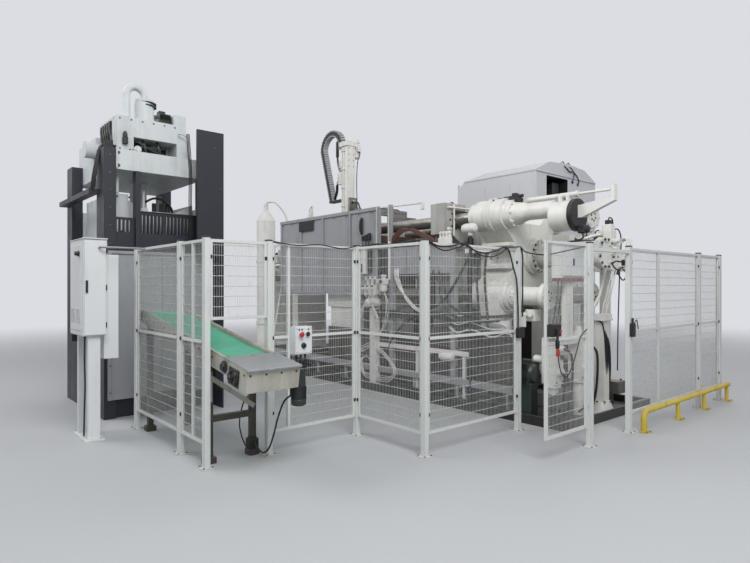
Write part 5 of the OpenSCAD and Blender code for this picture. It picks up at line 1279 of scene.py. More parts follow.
@dataclass
class ClosingEnd:
    """The closing end: hoses, valves and the bolts of the rear platen, its barrels and the closing cylinder."""

    side: float = -0.95

    def hoses(self) -> None:
        """Adds the hoses between the bed, the lower barrels and the valves beside the rear platen."""
        black = Forge()
        y = self.side
        black.hose([(2.16, -0.885, 2.1), (2.18, -0.91, 1.94), (2.259, y, 1.679), (2.338, y, 1.488), (2.549, y, 1.363),
                    (2.77, y, 1.314), (3.084, y, 1.313), (3.3, -0.85, 1.34), (3.44, -0.68, 1.42)], 0.021)
        black.hose([(2.1, -0.885, 2.1), (2.12, -0.92, 1.94), (2.2, y - 0.03, 1.64), (2.29, y - 0.03, 1.42),
                    (2.5, y - 0.03, 1.29), (2.77, y - 0.03, 1.25), (3.05, y - 0.02, 1.25), (3.28, -0.84, 1.29),
                    (3.42, -0.66, 1.37)], 0.021)
        black.hose([(2.8, -0.9, 2.2), (2.697, y + 0.02, 2.136), (2.511, y, 1.854), (2.338, y - 0.03, 1.606),
                    (2.159, y, 1.469), (1.9, y, 1.36), (1.5, y, 1.2), (1.1, -0.93, 0.9), (0.96, -0.91, 0.6),
                    (0.95, -0.91, 0.41)], 0.02)
        for k, x in enumerate((2.69, 2.84, 2.98)):
            black.hose([(x + 0.02, -0.88, 2.24), (x, -0.9, 2.13), (x - 0.02, -0.905, 1.85), (x, -0.905, 1.58),
                        (x + 0.03, -0.9, 1.2), (x, -0.9, 0.8), (x - 0.02, -0.905, 0.41)], 0.017 if k else 0.02)
        # Cable tray hoses that run level along the machine
        for k in range(4):
            black.tube([(0.75, -0.99, 1.32 - 0.03 * k), (0.9, -0.96, 1.33 - 0.03 * k),
                        (1.2, -0.93 - 0.02 * (k % 2), 1.33 - 0.03 * k), (1.6, -0.94, 1.31 - 0.035 * k),
                        (2.1, -0.93, 1.34 - 0.03 * k), (2.5, -0.92, 1.2 - 0.03 * k), (2.9, -0.915, 1.16 - 0.03 * k),
                        (3.28, -0.9, 1.12 - 0.03 * k), (3.37, -0.85, 1.1 - 0.03 * k)], 0.013)
        black.block((0.73, -1.02, 1.2), (0.79, -0.95, 1.35), 0.006)
        black.write("closing_end_hoses", HOSE_RUBBER, "lock_plastic")
        pale = Forge()
        for k in range(4):
            pale.tube([(1.13 + 0.03 * k, -0.9, 2.1), (1.158 + 0.03 * k, y, 1.918),
                       (1.276 + 0.03 * k, y - 0.01, 1.703 - 0.012 * k), (1.43, y - 0.01, 1.584 - 0.02 * k),
                       (1.654, y, 1.406 - 0.015 * k), (1.88, -0.95, 1.36 - 0.01 * k),
                       (1.985 + 0.02 * k, -0.955, 1.42)], 0.0085)
        for k in range(3):
            pale.tube([(2.3 + 0.03 * k, -0.85, 1.08), (2.32 + 0.02 * k, -0.91, 1.13 + 0.07 * k),
                       (2.5, -0.94, 1.06 + 0.12 * k), (2.75, -0.95, 1.12 + 0.1 * k), (3.1, -0.94, 1.04 + 0.1 * k),
                       (3.31, -0.91, 1.1 + 0.05 * k), (3.34 + 0.02 * k, -0.85, 1.05)], 0.011)
        pale.write("closing_end_pale_hoses", IVORY, "machine_ivory")
        rust = Forge()
        for k in range(4):
            rust.tube([(1.02, -0.905, 2.37 + 0.01 * k), (1.09, -0.905, 2.47 + 0.03 * k),
                       (1.3, -0.905, 2.6 + 0.02 * k), (1.515, -0.9, 2.64 - 0.01 * k), (1.75, -0.9, 2.56 - 0.02 * k),
                       (1.965, -0.905, 2.46 - 0.02 * k), (2.08, -0.91, 2.4 - 0.01 * k),
                       (2.14, -0.915, 2.4 - 0.01 * k)], 0.014)
        rust.write("die_cooling_hoses", HOSE_BROWN, "lock_plastic")

    def valves(self) -> None:
        """Adds the lubricator, the junction box and the valve blocks."""
        y = self.side
        light = Forge()
        light.turned((2.6, y, 2.556), ALONG,
                     ((0, 0.03), (0.02, 0.06), (0.06, 0.072), (0.19, 0.072), (0.23, 0.058), (0.25, 0.03)))
        light.turned((2.743, y, 2.45), UP, ((0, 0.024), (0.02, 0.036), (0.06, 0.036)), 18)
        light.block((2.12, -0.955, 2.355), (2.36, -0.895, 2.46), 0.008)
        for k in range(4):
            light.turned((2.15 + 0.06 * k, -0.925, 2.455), UP,
                         ((0, 0.02), (0.05, 0.02), (0.056, 0.026), (0.09, 0.026), (0.1, 0.012)), 16)
        light.block((2.62, -0.93, 2.2), (3.04, -0.838, 2.28), 0.008)
        light.block((2.95, -0.905, 1.18), (3.35, -0.855, 1.27), 0.006)
        # Horizontal rail that carries the die hoses
        light.tube([(0.73, -0.905, 3.06), (1.2, -0.905, 3.045), (1.74, -0.905, 3.03)], 0.012)
        light.block((1.72, -0.92, 2.93), (1.78, -0.885, 3.05), 0.006)
        # Lower block and its pipe under the near barrel
        light.block((3.36, -0.66, 1.26), (3.6, -0.5, 1.42), 0.01)
        for x in (3.4, 3.48, 3.56):
            light.turned((x, -0.66, 1.35), NEAR,
                         ((0, 0.026), (0.03, 0.026), (0.034, 0.034), (0.06, 0.034), (0.064, 0.02)), 16)
        light.tube([(3.62, 0.06, 2.42), (3.75, 0.25, 2.4), (3.92, 0.42, 2.46), (4.0, 0.52, 2.42), (4.02, 0.6, 2.34)],
                   0.024)
        light.write("closing_end_valves", IVORY, "machine_ivory")
        dark = Forge()
        dark.rod((2.743, y, 0.02), (2.743, y, 2.46), 0.022, 16)
        dark.block((2.69, y - 0.05, 0.02), (2.8, y + 0.05, 0.04), 0.003)
        dark.block((1.974, -0.985, 1.405), (2.06, -0.925, 1.806), 0.008)
        dark.block((2.0, -0.948, 1.8), (2.03, -0.94, 1.98), 0.002)
        # Valve with its cables on the drawn barrel
        dark.block((3.16, -0.64, 2.9), (3.33, -0.52, 2.965), 0.008)
        dark.rod((3.05, -0.58, 2.975), (3.36, -0.58, 2.985), 0.024, 14)
        dark.block((3.2, -0.62, 2.96), (3.28, -0.54, 3.03), 0.008)
        dark.tube([(3.05, -0.58, 2.97), (2.97, -0.6, 2.98), (2.9, -0.66, 2.93), (2.85, -0.76, 2.85)], 0.01)
        # Motor under the puller's arm
        dark.block((4.2, -0.64, 2.4), (4.3, -0.53, 2.5), 0.012)
        dark.turned((4.19, -0.585, 2.45), ALONG, ((0, 0.03), (0.01, 0.05), (0.13, 0.05), (0.14, 0.03)), 18)
        dark.tube([(3.66, 0.02, 2.44), (3.8, 0.2, 2.36), (3.95, 0.38, 2.38), (4.06, 0.5, 2.4), (4.08, 0.6, 2.34)],
                  0.028)
        dark.tube([(4.25, -0.6, 2.4), (4.27, -0.62, 2.34), (4.2, -0.64, 2.31), (4.08, -0.63, 2.3),
                   (4.05, -0.62, 2.285)], 0.012)
        dark.write("closing_end_dark_parts", LOCK_BLACK, "lock_plastic")

    def bolts(self) -> None:
        """Adds the flange bolts and the ring on the drawn nut."""
        heads = Forge()
        heads.ring((3.28, 0.0, 2.175), ALONG, 0.215, 16, 0.016)
        heads.ring((4.27, 0.0, 2.175), ALONG, 0.185, 12, 0.014)
        for y, z in ((-0.575, 1.6), (0.575, 1.6), (0.575, 2.75)):
            heads.ring((3.77, y, z), ALONG, 0.06, 6, 0.012)
        for x in (2.62, 2.78, 3.08):
            heads.ring((x, -0.84, 2.175), NEAR, 0.08, 4, 0.013)
        for x in (2.86, 2.95):
            heads.row((x, -0.7, 2.955), (x, -0.46, 2.955), UP, 2, 0.014)
        heads.ring((4.13, -0.575, 2.64), BACK, 0.16, 8, 0.014)
        heads.write("closing_end_bolts", BOLT_STEEL, "machine_ivory")
        seat = Forge()
        seat.turned((4.13, -0.575, 2.64), ALONG,
                    ((0.004, 0.15), (0.004, 0.209), (0.061, 0.209), (0.064, 0.203), (0.064, 0.15)), 48)
        seat.write("drawn_nut_ring", LOCK_BLACK, "machine_ivory")

    def build(self) -> None:
        """Builds the closing end's fine parts."""
        self.hoses()
        self.valves()
        self.bolts()


@dataclass
class DieSpace:
    """The moving platen, the dies and the guards around them."""

    back: float = 2.15
    guard: float = 0.951

    def platen(self) -> None:
        """Adds what travels with the moving platen: its pipe frame, clamps, eyes and bolts."""
        back = self.back
        pipes = Forge()
        pipes.tube([(back + 0.03, -0.8, 2.93), (back + 0.035, -0.5, 2.935), (back + 0.035, 0.2, 2.935),
                    (back + 0.03, 0.7, 2.93)], 0.014)
        pipes.tube([(back + 0.03, -0.66, 2.99), (back + 0.035, -0.66, 2.7), (back + 0.035, -0.67, 2.5)], 0.014)
        for y in (-0.66, -0.3, 0.3):
            pipes.block((back - 0.004, y - 0.02, 2.915), (back + 0.035, y + 0.02, 2.955))
        for z in (2.6, 2.5, 2.4):
            pipes.turned((back + 0.045, -0.74, z), NEAR,
                         ((0, 0.02), (0.04, 0.02), (0.045, 0.028), (0.07, 0.028), (0.075, 0.015)), 14)
        pipes.write("moving_platen_pipes", IVORY, "machine_ivory", "moving_platen")
        dark = Forge()
        # Ejector plate of the closed housing, with the gear that darkens the platen's back
        dark.block((back - 0.002, -0.62, 2.62), (back + 0.012, 0.62, 2.9))
        dark.block((back - 0.002, -0.3, 2.36), (back + 0.02, -0.18, 2.5))
        for k in range(4):
            dark.tube([(back + 0.03, -0.76, 2.58 - 0.05 * k), (back + 0.06, -0.72, 2.5 - 0.04 * k),
                       (back + 0.06, -0.6, 2.42 - 0.03 * k), (back + 0.03, -0.45, 2.4 - 0.02 * k),
                       (back + 0.01, -0.3, 2.43 - 0.01 * k)], 0.01)
        dark.write("moving_platen_dark_parts", LOCK_BLACK, "lock_plastic", "moving_platen")
        heads = Forge()
        for y in (-0.575, 0.575):
            for z in (1.6, 2.75):
                heads.ring((back, y, z), ALONG, 0.135, 8, 0.014)
        heads.ring((2.2, 0.0, 2.175), ALONG, 0.13, 8, 0.014)
        for z in (1.78, 2.57):
            for y in (-0.7, 0.53):
                heads.row((1.85, y, z), (1.85, y + 0.17, z), BACK, 2, 0.02)
        heads.write("moving_platen_bolts", BOLT_STEEL, "platen_steel", "moving_platen")
        eyes = Forge()
        for y in (-0.5, 0.5):
            eyes.tube([(2.0, y - 0.05, 2.995), (2.0, y - 0.04, 3.03), (2.0, y, 3.05), (2.0, y + 0.04, 3.03),
                       (2.0, y + 0.05, 2.995)], 0.012)
        eyes.write("moving_platen_eyes", GALVANISED, "platen_steel", "moving_platen")

    def dies(self) -> None:
        """Adds guide pins, cooling nipples and clamps to the two die halves."""
        for name, body, face, side in (("fixed_die", ROOT, -0.1, 1), ("moving_die", "moving_platen", 1.85, -1)):
            made = Forge()
            for y in (-0.52, 0.52):
                for z in (1.8, 2.55):
                    x0, x1 = sorted((face, face + side * 0.075))
                    made.block((x0, y - 0.05, z - 0.04), (x1, y + 0.05, z + 0.04), 0.008)
            for k in range(6):
                x = face + side * (0.1 + 0.035 * (k % 3))
                made.turned((x, -0.44, 2.05 + 0.09 * k), NEAR,
                            ((0, 0.014), (0.03, 0.014), (0.034, 0.01), (0.05, 0.01)), 10)
            made.write(f"{name}_clamps_and_nipples", BOLSTER_STEEL, "die_steel", body)

    def guards(self) -> None:
        """Adds handles, seams, bolts and the boxes that hang on the near guard."""
        seams = Forge()
        for x in (-1.6, -0.85, -0.02):
            seams.block((x - 0.02, -0.958, 1.62), (x + 0.02, -0.948, 3.06), 0.002)
        seams.block((-2.38, -0.957, 1.6), (0.69, -0.947, 1.63), 0.002)
        for x in (1.4, 1.9):
            seams.block((x - 0.015, -0.956, 1.98), (x + 0.015, -0.949, 2.34), 0.002)
        seams.write("guard_seams", GUARD_GREY, "guard_sheet")
        dark = Forge()
        dark.tube([(0.315, -0.955, 2.66), (0.315, -0.985, 2.69), (0.315, -0.995, 2.78), (0.315, -0.985, 2.87),
                   (0.315, -0.955, 2.9)], 0.013)
        dark.block((0.285, -0.958, 2.63), (0.345, -0.948, 2.93), 0.003)
        for k in range(3):
            x = 0.36 + 0.08 * k
            dark.block((x, -1.0, 2.52), (x + 0.055, -0.949, 2.6 + 0.02 * k), 0.006)
            dark.tube([(x + 0.03, -0.98, 2.53), (x + 0.04, -1.0, 2.47), (x + 0.08, -0.99, 2.42),
                       (x + 0.1, -0.97, 2.47)], 0.009)
        # Box with a dark window, and the dark duct beside it
        dark.block((0.27, -1.036, 1.97), (0.43, -1.03, 2.12), 0.003)
        dark.block((0.53, -1.0, 1.98), (0.6, -0.949, 2.42), 0.005)
        dark.tube([(0.565, -0.98, 2.0), (0.57, -1.0, 1.92), (0.6, -1.02, 1.87), (0.64, -1.03, 1.85)], 0.01)
        # Bare plate near the shot end
        dark.block((-1.66, -0.962, 2.82), (-1.17, -0.949, 3.02), 0.002)
        dark.write("guard_dark_fittings", LOCK_BLACK, "lock_plastic")
        light = Forge()
        light.block((0.25, -1.032, 1.94), (0.49, -0.949, 2.44), 0.008)
        light.block((1.045, -0.995, 1.84), (1.078, -0.962, 2.47))
        for x in (0.73, 1.03):
            light.block((x - 0.006, -0.976, 2.4), (x + 0.006, -0.966, 3.07), 0.002)
        light.write("guard_light_fittings", IVORY, "machine_ivory")
        heads = Forge()
        for side in (-1, 1):
            for z in (2.99, 1.66):
                heads.row((-2.3, side * self.guard, z), (0.6, side * self.guard, z), (0, side, 0), 9, 0.008)
        for z in (2.31, 2.0):
            heads.row((1.05, -self.guard, z), (2.36, -self.guard, z), NEAR, 5, 0.007)
        heads.write("guard_bolts", BOLT_STEEL, "guard_sheet")

    def build(self) -> None:
        """Builds the die space's fine parts."""
        self.platen()
        self.dies()
        self.guards()


@dataclass
class AirPanel:
    """The compressed air valves on the valve post, their regulator and the loops of thin hose below."""

    post: Point = (0.7, -1.03, 1.45)
    valves: tuple[float, ...] = (-0.17, -0.06, 0.06)

    def build(self) -> None:
        """Adds what the valve post carries."""
        x, y, z = self.post
        light = Forge()
        for k in self.valves:
            light.turned((x + k, y, 1.85), UP, ((0, 0.024), (0.02, 0.024), (0.026, 0.014), (0.05, 0.012)), 14)
            light.turned((x + k, y - 0.06, 1.7), NEAR, ((0, 0.028), (0.02, 0.028), (0.024, 0.018), (0.034, 0.016)),
                         16)
            light.turned((x + k, y, 1.645), DOWN, ((0, 0.034), (0.06, 0.034), (0.075, 0.02), (0.09, 0.012)), 16)
        # Regulator with its bowl
        light.block((0.9, y - 0.05, 1.76), (1.08, y + 0.03, 1.86), 0.01)
        light.turned((0.99, y - 0.01, 1.77), DOWN,
                     ((0, 0.04), (0.02, 0.062), (0.09, 0.066), (0.12, 0.05), (0.135, 0.02)), 22)
        light.turned((0.99, y - 0.01, 1.855), UP,
                     ((0, 0.035), (0.03, 0.035), (0.034, 0.045), (0.065, 0.045), (0.07, 0.03)), 20)
        light.block((0.82, y - 0.02, 1.79), (0.92, y + 0.02, 1.83))
        light.turned((x, y - 0.112, z), NEAR,
                     ((0, 0.07), (0.006, 0.074), (0.012, 0.05), (0.03, 0.045), (0.034, 0.02)), 26)
        light.write("air_valves", IVORY, "machine_ivory")
        loops = Forge()
        for k in range(3):
            s = 0.03 * k
            loops.tube([(0.62 + s, y, 1.6), (0.45 - s, y - 0.01, 1.3), (0.33 + s, y, 0.95), (0.305 + s, -1.0, 0.624),
                        (0.44 + s, -1.0, 0.72 - s), (0.66, -1.01, 0.77 - s), (0.958, -1.0, 0.647 - s),
                        (1.249 - s, -1.0, 0.383), (1.081, -1.0, 0.18 + s), (0.8, -1.0, 0.16 + s),
                        (0.5, -1.0, 0.18 + s), (0.35 + s, -0.99, 0.3), (0.3 + s, -0.98, 0.45), (0.42, -0.93, 0.52),
                        (0.55 + s, -0.89, 0.4)], 0.0075)
        for k in range(2):
            loops.tube([(0.99, y, 1.65), (1.05 + 0.04 * k, y, 1.45), (1.0 + 0.05 * k, y, 1.15), (0.86, -1.04, 0.92),
                        (0.72, -1.02, 0.98), (0.68, -1.02, 1.1 + 0.05 * k), (0.7, -1.03, 1.25)], 0.0065)
        loops.write("air_hoses", IVORY, "machine_ivory")
        dark = Forge()
        for k in self.valves:
            dark.block((x + k - 0.02, y - 0.085, 1.72), (x + k + 0.02, y - 0.058, 1.755))
        dark.turned((0.99, y - 0.075, 1.81), NEAR, ((0, 0.028), (0.012, 0.03), (0.016, 0.022)), 20)
        dark.block((x - 0.07, y - 0.066, 1.37), (x + 0.07, y + 0.062, 1.395))
        dark.write("air_panel_dark_parts", LOCK_BLACK, "lock_plastic")


@dataclass
class MachineBed:
    """The bed and its tray: pipes, clamps, cable channel, motor, pumps, bolts and swarf pans."""

    pump_lines: tuple[float, ...] = (-0.81, -0.185)

    def bed(self) -> None:
        """Adds the ledge along the bed, its pipes, its cable channel and its clamps."""
        ledge = Forge()
        ledge.block((-3.9, -0.96, 0.3), (3.46, -0.874, 0.396), 0.006)
        for i in range(9):
            ledge.block((-3.7 + 0.88 * i, -0.95, 0.02), (-3.66 + 0.88 * i, -0.88, 0.305))
        ledge.write("bed_ledge", GUARD_GREY, "bed_paint")
        pipes = Forge()
        pipes.block((0.6, -0.935, 0.72), (2.7, -0.885, 0.79), 0.006)
        for x in (0.7, 1.65, 2.6):
            pipes.block((x - 0.025, -0.93, 0.02), (x + 0.025, -0.89, 0.73))
        pipes.turned((2.16, -0.96, 0.7), ALONG,
                     ((0, 0.015), (0.02, 0.05), (0.07, 0.07), (0.2, 0.07), (0.26, 0.05), (0.28, 0.015)), 22)
        pipes.block((2.26, -0.97, 0.64), (2.32, -0.9, 0.74), 0.005)
        pipes.write("bed_pipes_and_channel", IVORY, "machine_ivory")
        clamps = Forge()
        for y in (-0.905, 0.905):
            for z in (0.15, 0.22):
                clamps.tube([(-3.6, y, z), (-1.2, y, z), (1.2, y, z), (3.3, y, z)], 0.013)
        for i in range(10):
            x = -3.3 + 0.72 * i
            for y0, y1 in ((-0.928, -0.872), (0.872, 0.928)):
                clamps.block((x - 0.02, y0, 0.12), (x + 0.02, y1, 0.25))
        for side in (-1, 1):
            clamps.row((-3.8, side * 0.84, 0.386), (-1.0, side * 0.84, 0.386), UP, 9, 0.014)
            clamps.row((2.5, side * 0.84, 0.386), (4.05, side * 0.84, 0.386), UP, 6, 0.014)
        clamps.write("bed_clamps_and_bolts", BOLT_STEEL, "bed_paint")

    def sheets(self) -> None:
        """Adds dark sheets beside the lower die space as painted shade, with ribs and the small pipes that cross
        them.
        """
        sheet = Forge()
        # Dark sheets that stand for the shade beside the lower die space and along the far side
        sheet.block((1.75, -0.853, 0.388), (3.42, -0.837, 1.12))
        sheet.block((-0.8, -0.853, 0.388), (1.76, -0.837, 0.98))
        sheet.block((-2.4, 0.836, 0.388), (3.3, 0.85, 1.62))
        for x in (-0.4, 0.2, 1.3, 1.9, 2.5, 2.95, 3.35):
            sheet.block((x - 0.02, -0.868, 0.39), (x + 0.02, -0.85, 0.97), 0.003)
        for z in (0.55, 0.83):
            sheet.tube([(1.2, -0.875, z), (1.9, -0.872, z + 0.02), (2.6, -0.874, z - 0.01), (3.38, -0.872, z)], 0.014)
        sheet.write("painted_shade_sheets", SHADE_SHEET_BROWN, "bed_paint")

    def tray(self) -> None:
        """Adds the motor, the swarf pans and the hoses that lie in the tray."""
        dark = Forge()
        # Motor that lies in the tray beside the pumps
        dark.turned((3.54, -0.97, 0.62), ALONG,
                    ((0, 0.05), (0.01, 0.11), (0.05, 0.13), (0.24, 0.13), (0.28, 0.1), (0.29, 0.04)), 28)
        dark.slats((3.6, -0.97, 0.62), (3.78, -0.97, 0.62), UP, 10, (0.005, 0.275, 0.275))
        dark.block((3.58, -1.05, 0.02), (3.8, -0.89, 0.5), 0.01)
        dark.block((3.63, -1.0, 0.74), (3.74, -0.93, 0.8), 0.008)
        for k in range(5):
            x = 1.2 + 0.42 * k
            dark.block((x, -0.99, 0.02), (x + 0.26, -0.9, 0.12 + 0.03 * (k % 3)), 0.01)
        for k in range(3):
            dark.tube([(1.24, -0.95 - 0.01 * k, 0.05), (1.7, -1.02 + 0.02 * k, 0.04), (2.4, -0.99 - 0.02 * k, 0.045),
                       (3.1, -1.02, 0.04), (3.62, -0.98 - 0.02 * k, 0.08)], 0.018)
        dark.write("tray_dark_parts", MOTOR_GREEN, "lock_plastic")

    def pumps(self) -> None:
        """Adds flanges, caps, gauges and hoses to the pumps and to the pedestal beside them."""
        light = Forge()
        for y in self.pump_lines:
            light.turned((3.96, y, 1.075), UP,
                         ((0, 0.08), (0.01, 0.085), (0.05, 0.085), (0.055, 0.05), (0.12, 0.046), (0.13, 0.03)))
            light.turned((4.055, y, 0.95), ALONG, ((0, 0.05), (0.03, 0.05), (0.034, 0.036), (0.07, 0.036)), 20)
            light.turned((4.055, y, 0.66), ALONG, ((0, 0.065), (0.02, 0.065), (0.024, 0.05), (0.05, 0.048)), 22)
            light.turned((3.96, y, 0.505), DOWN, ((0, 0.09), (0.02, 0.105), (0.05, 0.105), (0.06, 0.08)))
        light.tube([(4.1, -0.2, 1.29), (4.1, -0.1, 1.42), (4.08, 0.05, 1.5), (4.06, 0.2, 1.62), (4.05, 0.35, 1.9),
                    (4.0, 0.52, 2.0), (3.98, 0.6, 2.0)], 0.02)
        for k in range(3):
            light.tube([(4.13, 0.12 + 0.05 * k, 1.29), (4.14, 0.14 + 0.06 * k, 1.45), (4.13, 0.25 + 0.06 * k, 1.6),
                        (4.12, 0.36 + 0.06 * k, 1.8), (4.12, 0.45 + 0.06 * k, 1.97), (4.1, 0.58 + 0.06 * k, 2.02)],
                       0.009)
        light.block((4.01, 0.06, 1.29), (4.19, 0.3, 1.36), 0.008)
        light.write("pump_fittings", IVORY, "machine_ivory")
        dark = Forge()
        for y in self.pump_lines:
            dark.tube([(4.1, y, 0.95), (4.17, y, 0.94), (4.21, y + 0.03, 0.85), (4.2, y + 0.06, 0.6),
                       (4.16, y + 0.08, 0.3), (4.1, y + 0.07, 0.12), (3.98, y + 0.06, 0.03)], 0.016)
            dark.tube([(4.09, y, 0.66), (4.15, y - 0.02, 0.6), (4.15, y - 0.05, 0.4), (4.08, y - 0.06, 0.15),
                       (3.95, y - 0.05, 0.03)], 0.013)
            dark.turned((4.06, y + 0.04, 0.84), ALONG, ((0, 0.03), (0.018, 0.032), (0.022, 0.026)), 18)
        for k in range(4):
            dark.tube([(4.06, 0.1 + 0.04 * k, 1.28), (4.16, 0.1 + 0.04 * k, 1.2 - 0.05 * k),
                       (4.18, 0.14 + 0.04 * k, 0.8), (4.14, 0.2 + 0.04 * k, 0.4), (4.05, 0.25 + 0.03 * k, 0.1),
                       (4.03, 0.26 + 0.03 * k, 0.02)], 0.01)
        dark.write("pump_hoses", HOSE_RUBBER, "lock_plastic")
        heads = Forge()
        for y in self.pump_lines:
            heads.ring((3.96, y, 1.085), UP, 0.068, 6, 0.009)
            for z in (0.53, 1.05):
                heads.row((4.06, y - 0.07, z), (4.06, y + 0.07, z), ALONG, 2, 0.01)
        heads.ring((4.1, 0.18, 0.18), UP, 0.125, 8, 0.011)
        heads.write("pump_bolts", BOLT_STEEL, "machine_ivory")

    def manifold(self) -> None:
        """Adds solenoid valves, plugs and hoses to the valve manifold, and the gauge block beside it."""
        light = Forge()
        dark = Forge()
        for i in range(4):
            x = 3.55 + 0.14 * i
            light.block((x - 0.045, 0.6, 2.325), (x + 0.045, 0.86, 2.42), 0.006)
            light.turned((x, 0.66, 2.42), UP, ((0, 0.034), (0.1, 0.034), (0.11, 0.02), (0.13, 0.018)), 16)
            dark.block((x - 0.032, 0.73, 2.415), (x + 0.032, 0.8, 2.5), 0.006)
            dark.turned((x, 0.56, 2.27), NEAR, ((0, 0.026), (0.03, 0.026), (0.034, 0.018)), 14)
            dark.tube([(x, 0.77, 2.49), (x + 0.01, 0.8, 2.56), (x + 0.03, 0.88, 2.55), (x + 0.04, 0.93, 2.4),
                       (x + 0.02, 0.93, 2.0), (x, 0.92, 1.2), (x, 0.9, 0.5)], 0.009)
        light.block((4.02, 0.36, 2.2), (4.14, 0.52, 2.52), 0.01)
        light.block((4.0, 0.38, 2.5), (4.13, 0.5, 2.6), 0.01)
        light.block((4.04, 0.42, 1.96), (4.12, 0.6, 2.21), 0.006)
        light.turned((4.14, 0.44, 2.36), ALONG,
                     ((0, 0.04), (0.03, 0.04), (0.036, 0.028), (0.08, 0.026), (0.084, 0.012)), 18)
        light.turned((4.14, 0.44, 2.26), ALONG, ((0, 0.03), (0.03, 0.03), (0.034, 0.018), (0.05, 0.016)), 16)
        for k in range(3):
            light.tube([(4.15, 0.66 + 0.05 * k, 2.1), (4.19, 0.68 + 0.06 * k, 2.2), (4.19, 0.74 + 0.06 * k, 2.36),
                        (4.14, 0.78 + 0.05 * k, 2.42), (4.06, 0.8, 2.4 - 0.02 * k)], 0.014)
        for k in range(5):
            light.turned((4.15, 0.6 + 0.06 * k, 2.02), ALONG,
                         ((0, 0.02), (0.025, 0.02), (0.03, 0.014), (0.045, 0.013)), 12)
        dark.block((4.03, 0.4, 2.59), (4.1, 0.48, 2.66), 0.006)
        dark.tube([(4.06, 0.44, 2.65), (4.06, 0.48, 2.7), (4.05, 0.58, 2.68), (4.03, 0.64, 2.58), (4.0, 0.66, 2.53)],
                  0.009)
        # Bracket with a switch below the manifold
        dark.block((4.08, 0.56, 1.9), (4.13, 0.64, 1.97), 0.005)
        dark.tube([(4.11, 0.6, 1.95), (4.15, 0.7, 1.97), (4.16, 0.78, 1.9), (4.13, 0.74, 1.82), (4.11, 0.64, 1.9)],
                  0.009)
        light.write("manifold_valves", IVORY, "machine_ivory")
        dark.write("manifold_plugs_and_hoses", LOCK_BLACK, "lock_plastic")
        heads = Forge()
        for z in (2.15, 1.98):
            heads.row((3.5, 0.638, z), (4.1, 0.638, z), NEAR, 6, 0.01)
        heads.write("manifold_bolts", BOLT_STEEL, "machine_ivory")

    def terminal(self) -> None:
        """Adds the door, handle, lower edge strip, glands and cables of the terminal cabinet."""
        light = Forge()
        light.block((4.085, -0.762, 1.865), (4.099, -0.288, 2.278))
        light.block((3.92, -0.785, 2.288), (4.1, -0.265, 2.3))
        light.write("terminal_cabinet_door", CABINET_WHITE, "machine_ivory")
        dark = Forge()
        dark.block((4.098, -0.56, 2.0), (4.112, -0.53, 2.09))
        for z in (1.95, 2.2):
            dark.rod((4.1, -0.292, z - 0.02), (4.1, -0.292, z + 0.02), 0.006, 10)
        for k in range(5):
            y = -0.7 + 0.085 * k
            dark.turned((3.97, y, 1.84), DOWN, ((0, 0.018), (0.016, 0.018), (0.02, 0.012), (0.04, 0.011)), 12)
            dark.tube([(3.97, y, 1.81), (3.96, y, 1.6), (3.9, y + 0.01, 1.3), (3.84, y + 0.01, 0.9), (3.8, y, 0.5),
                       (3.78, y, 0.38)], 0.009)
        dark.write("terminal_cabinet_cables", LOCK_BLACK, "lock_plastic")
        strip = Forge()
        strip.block((3.93, -0.77, 1.795), (4.09, -0.28, 1.842))
        strip.write("terminal_cabinet_strip", STRIP_RED, "machine_ivory")

    def build(self) -> None:
        """Builds the fine parts of the bed and of what stands on it."""
        self.bed()
        self.sheets()
        self.tray()
        self.pumps()
        self.manifold()
        self.terminal()


@dataclass
class ShotEnd:
    """The shot end: valves, pipes and bolts of the shot cylinder, and the valves of the gas bottles."""

    axis: float = 2.015
    bottle_x: float = -3.56

    def build(self) -> None:
        """Adds what the shot end carries."""
        light = Forge()
        for side in (-1, 1):
            light.turned((self.bottle_x, side * 0.62, 3.53), UP, ((0, 0.04), (0.03, 0.05), (0.08, 0.05), (0.1, 0.03)),
                         20)
            light.tube([(self.bottle_x, side * 0.62, 3.6), (-3.5, side * 0.6, 3.66), (-3.3, side * 0.5, 3.62),
                        (-3.2, side * 0.3, 3.3), (-3.25, side * 0.2, 2.7), (-3.4, side * 0.18, 2.31)], 0.022)
            light.tube([(self.bottle_x, side * 0.62, 0.42), (-3.4, side * 0.56, 0.5), (-3.3, side * 0.5, 1.0),
                        (-3.35, side * 0.36, 1.6), (-3.45, side * 0.25, 1.86)], 0.026)
        light.block((-4.3, -0.14, 2.28), (-3.9, 0.14, 2.48), 0.014)
        light.block((-3.75, -0.2, 2.43), (-3.62, 0.2, 2.6), 0.012)
        light.turned((-4.56, 0.0, self.axis), BACK,
                     ((0, 0.2), (0.02, 0.2), (0.026, 0.12), (0.08, 0.11), (0.09, 0.05)), 32)
        light.write("shot_end_valves_and_pipes", IVORY, "machine_ivory")
        heads = Forge()
        heads.ring((-3.8, 0.0, self.axis), BACK, 0.25, 12, 0.018)
        heads.ring((-4.56, 0.0, self.axis), BACK, 0.235, 12, 0.015)
        for y in (-0.36, 0.36):
            heads.row((-3.8, y, 1.7), (-3.8, y, 2.36), BACK, 4, 0.018)
        heads.ring((-0.85, 0.0, self.axis), BACK, 0.22, 10, 0.016)
        heads.write("shot_end_bolts", BOLT_STEEL, "machine_ivory")
        dark = Forge()
        for k in range(3):
            dark.turned((-4.22 + 0.12 * k, 0.0, 2.478), UP, ((0, 0.035), (0.07, 0.035), (0.076, 0.02)), 18)
            dark.tube([(-4.22 + 0.12 * k, 0.03, 2.54), (-4.2 + 0.12 * k, 0.2, 2.5), (-4.1 + 0.1 * k, 0.32, 2.2),
                       (-3.95 + 0.06 * k, 0.4, 1.4), (-3.8, 0.42, 0.6), (-3.7, 0.45, 0.39)], 0.012)
        dark.write("shot_end_hoses", HOSE_RUBBER, "lock_plastic")


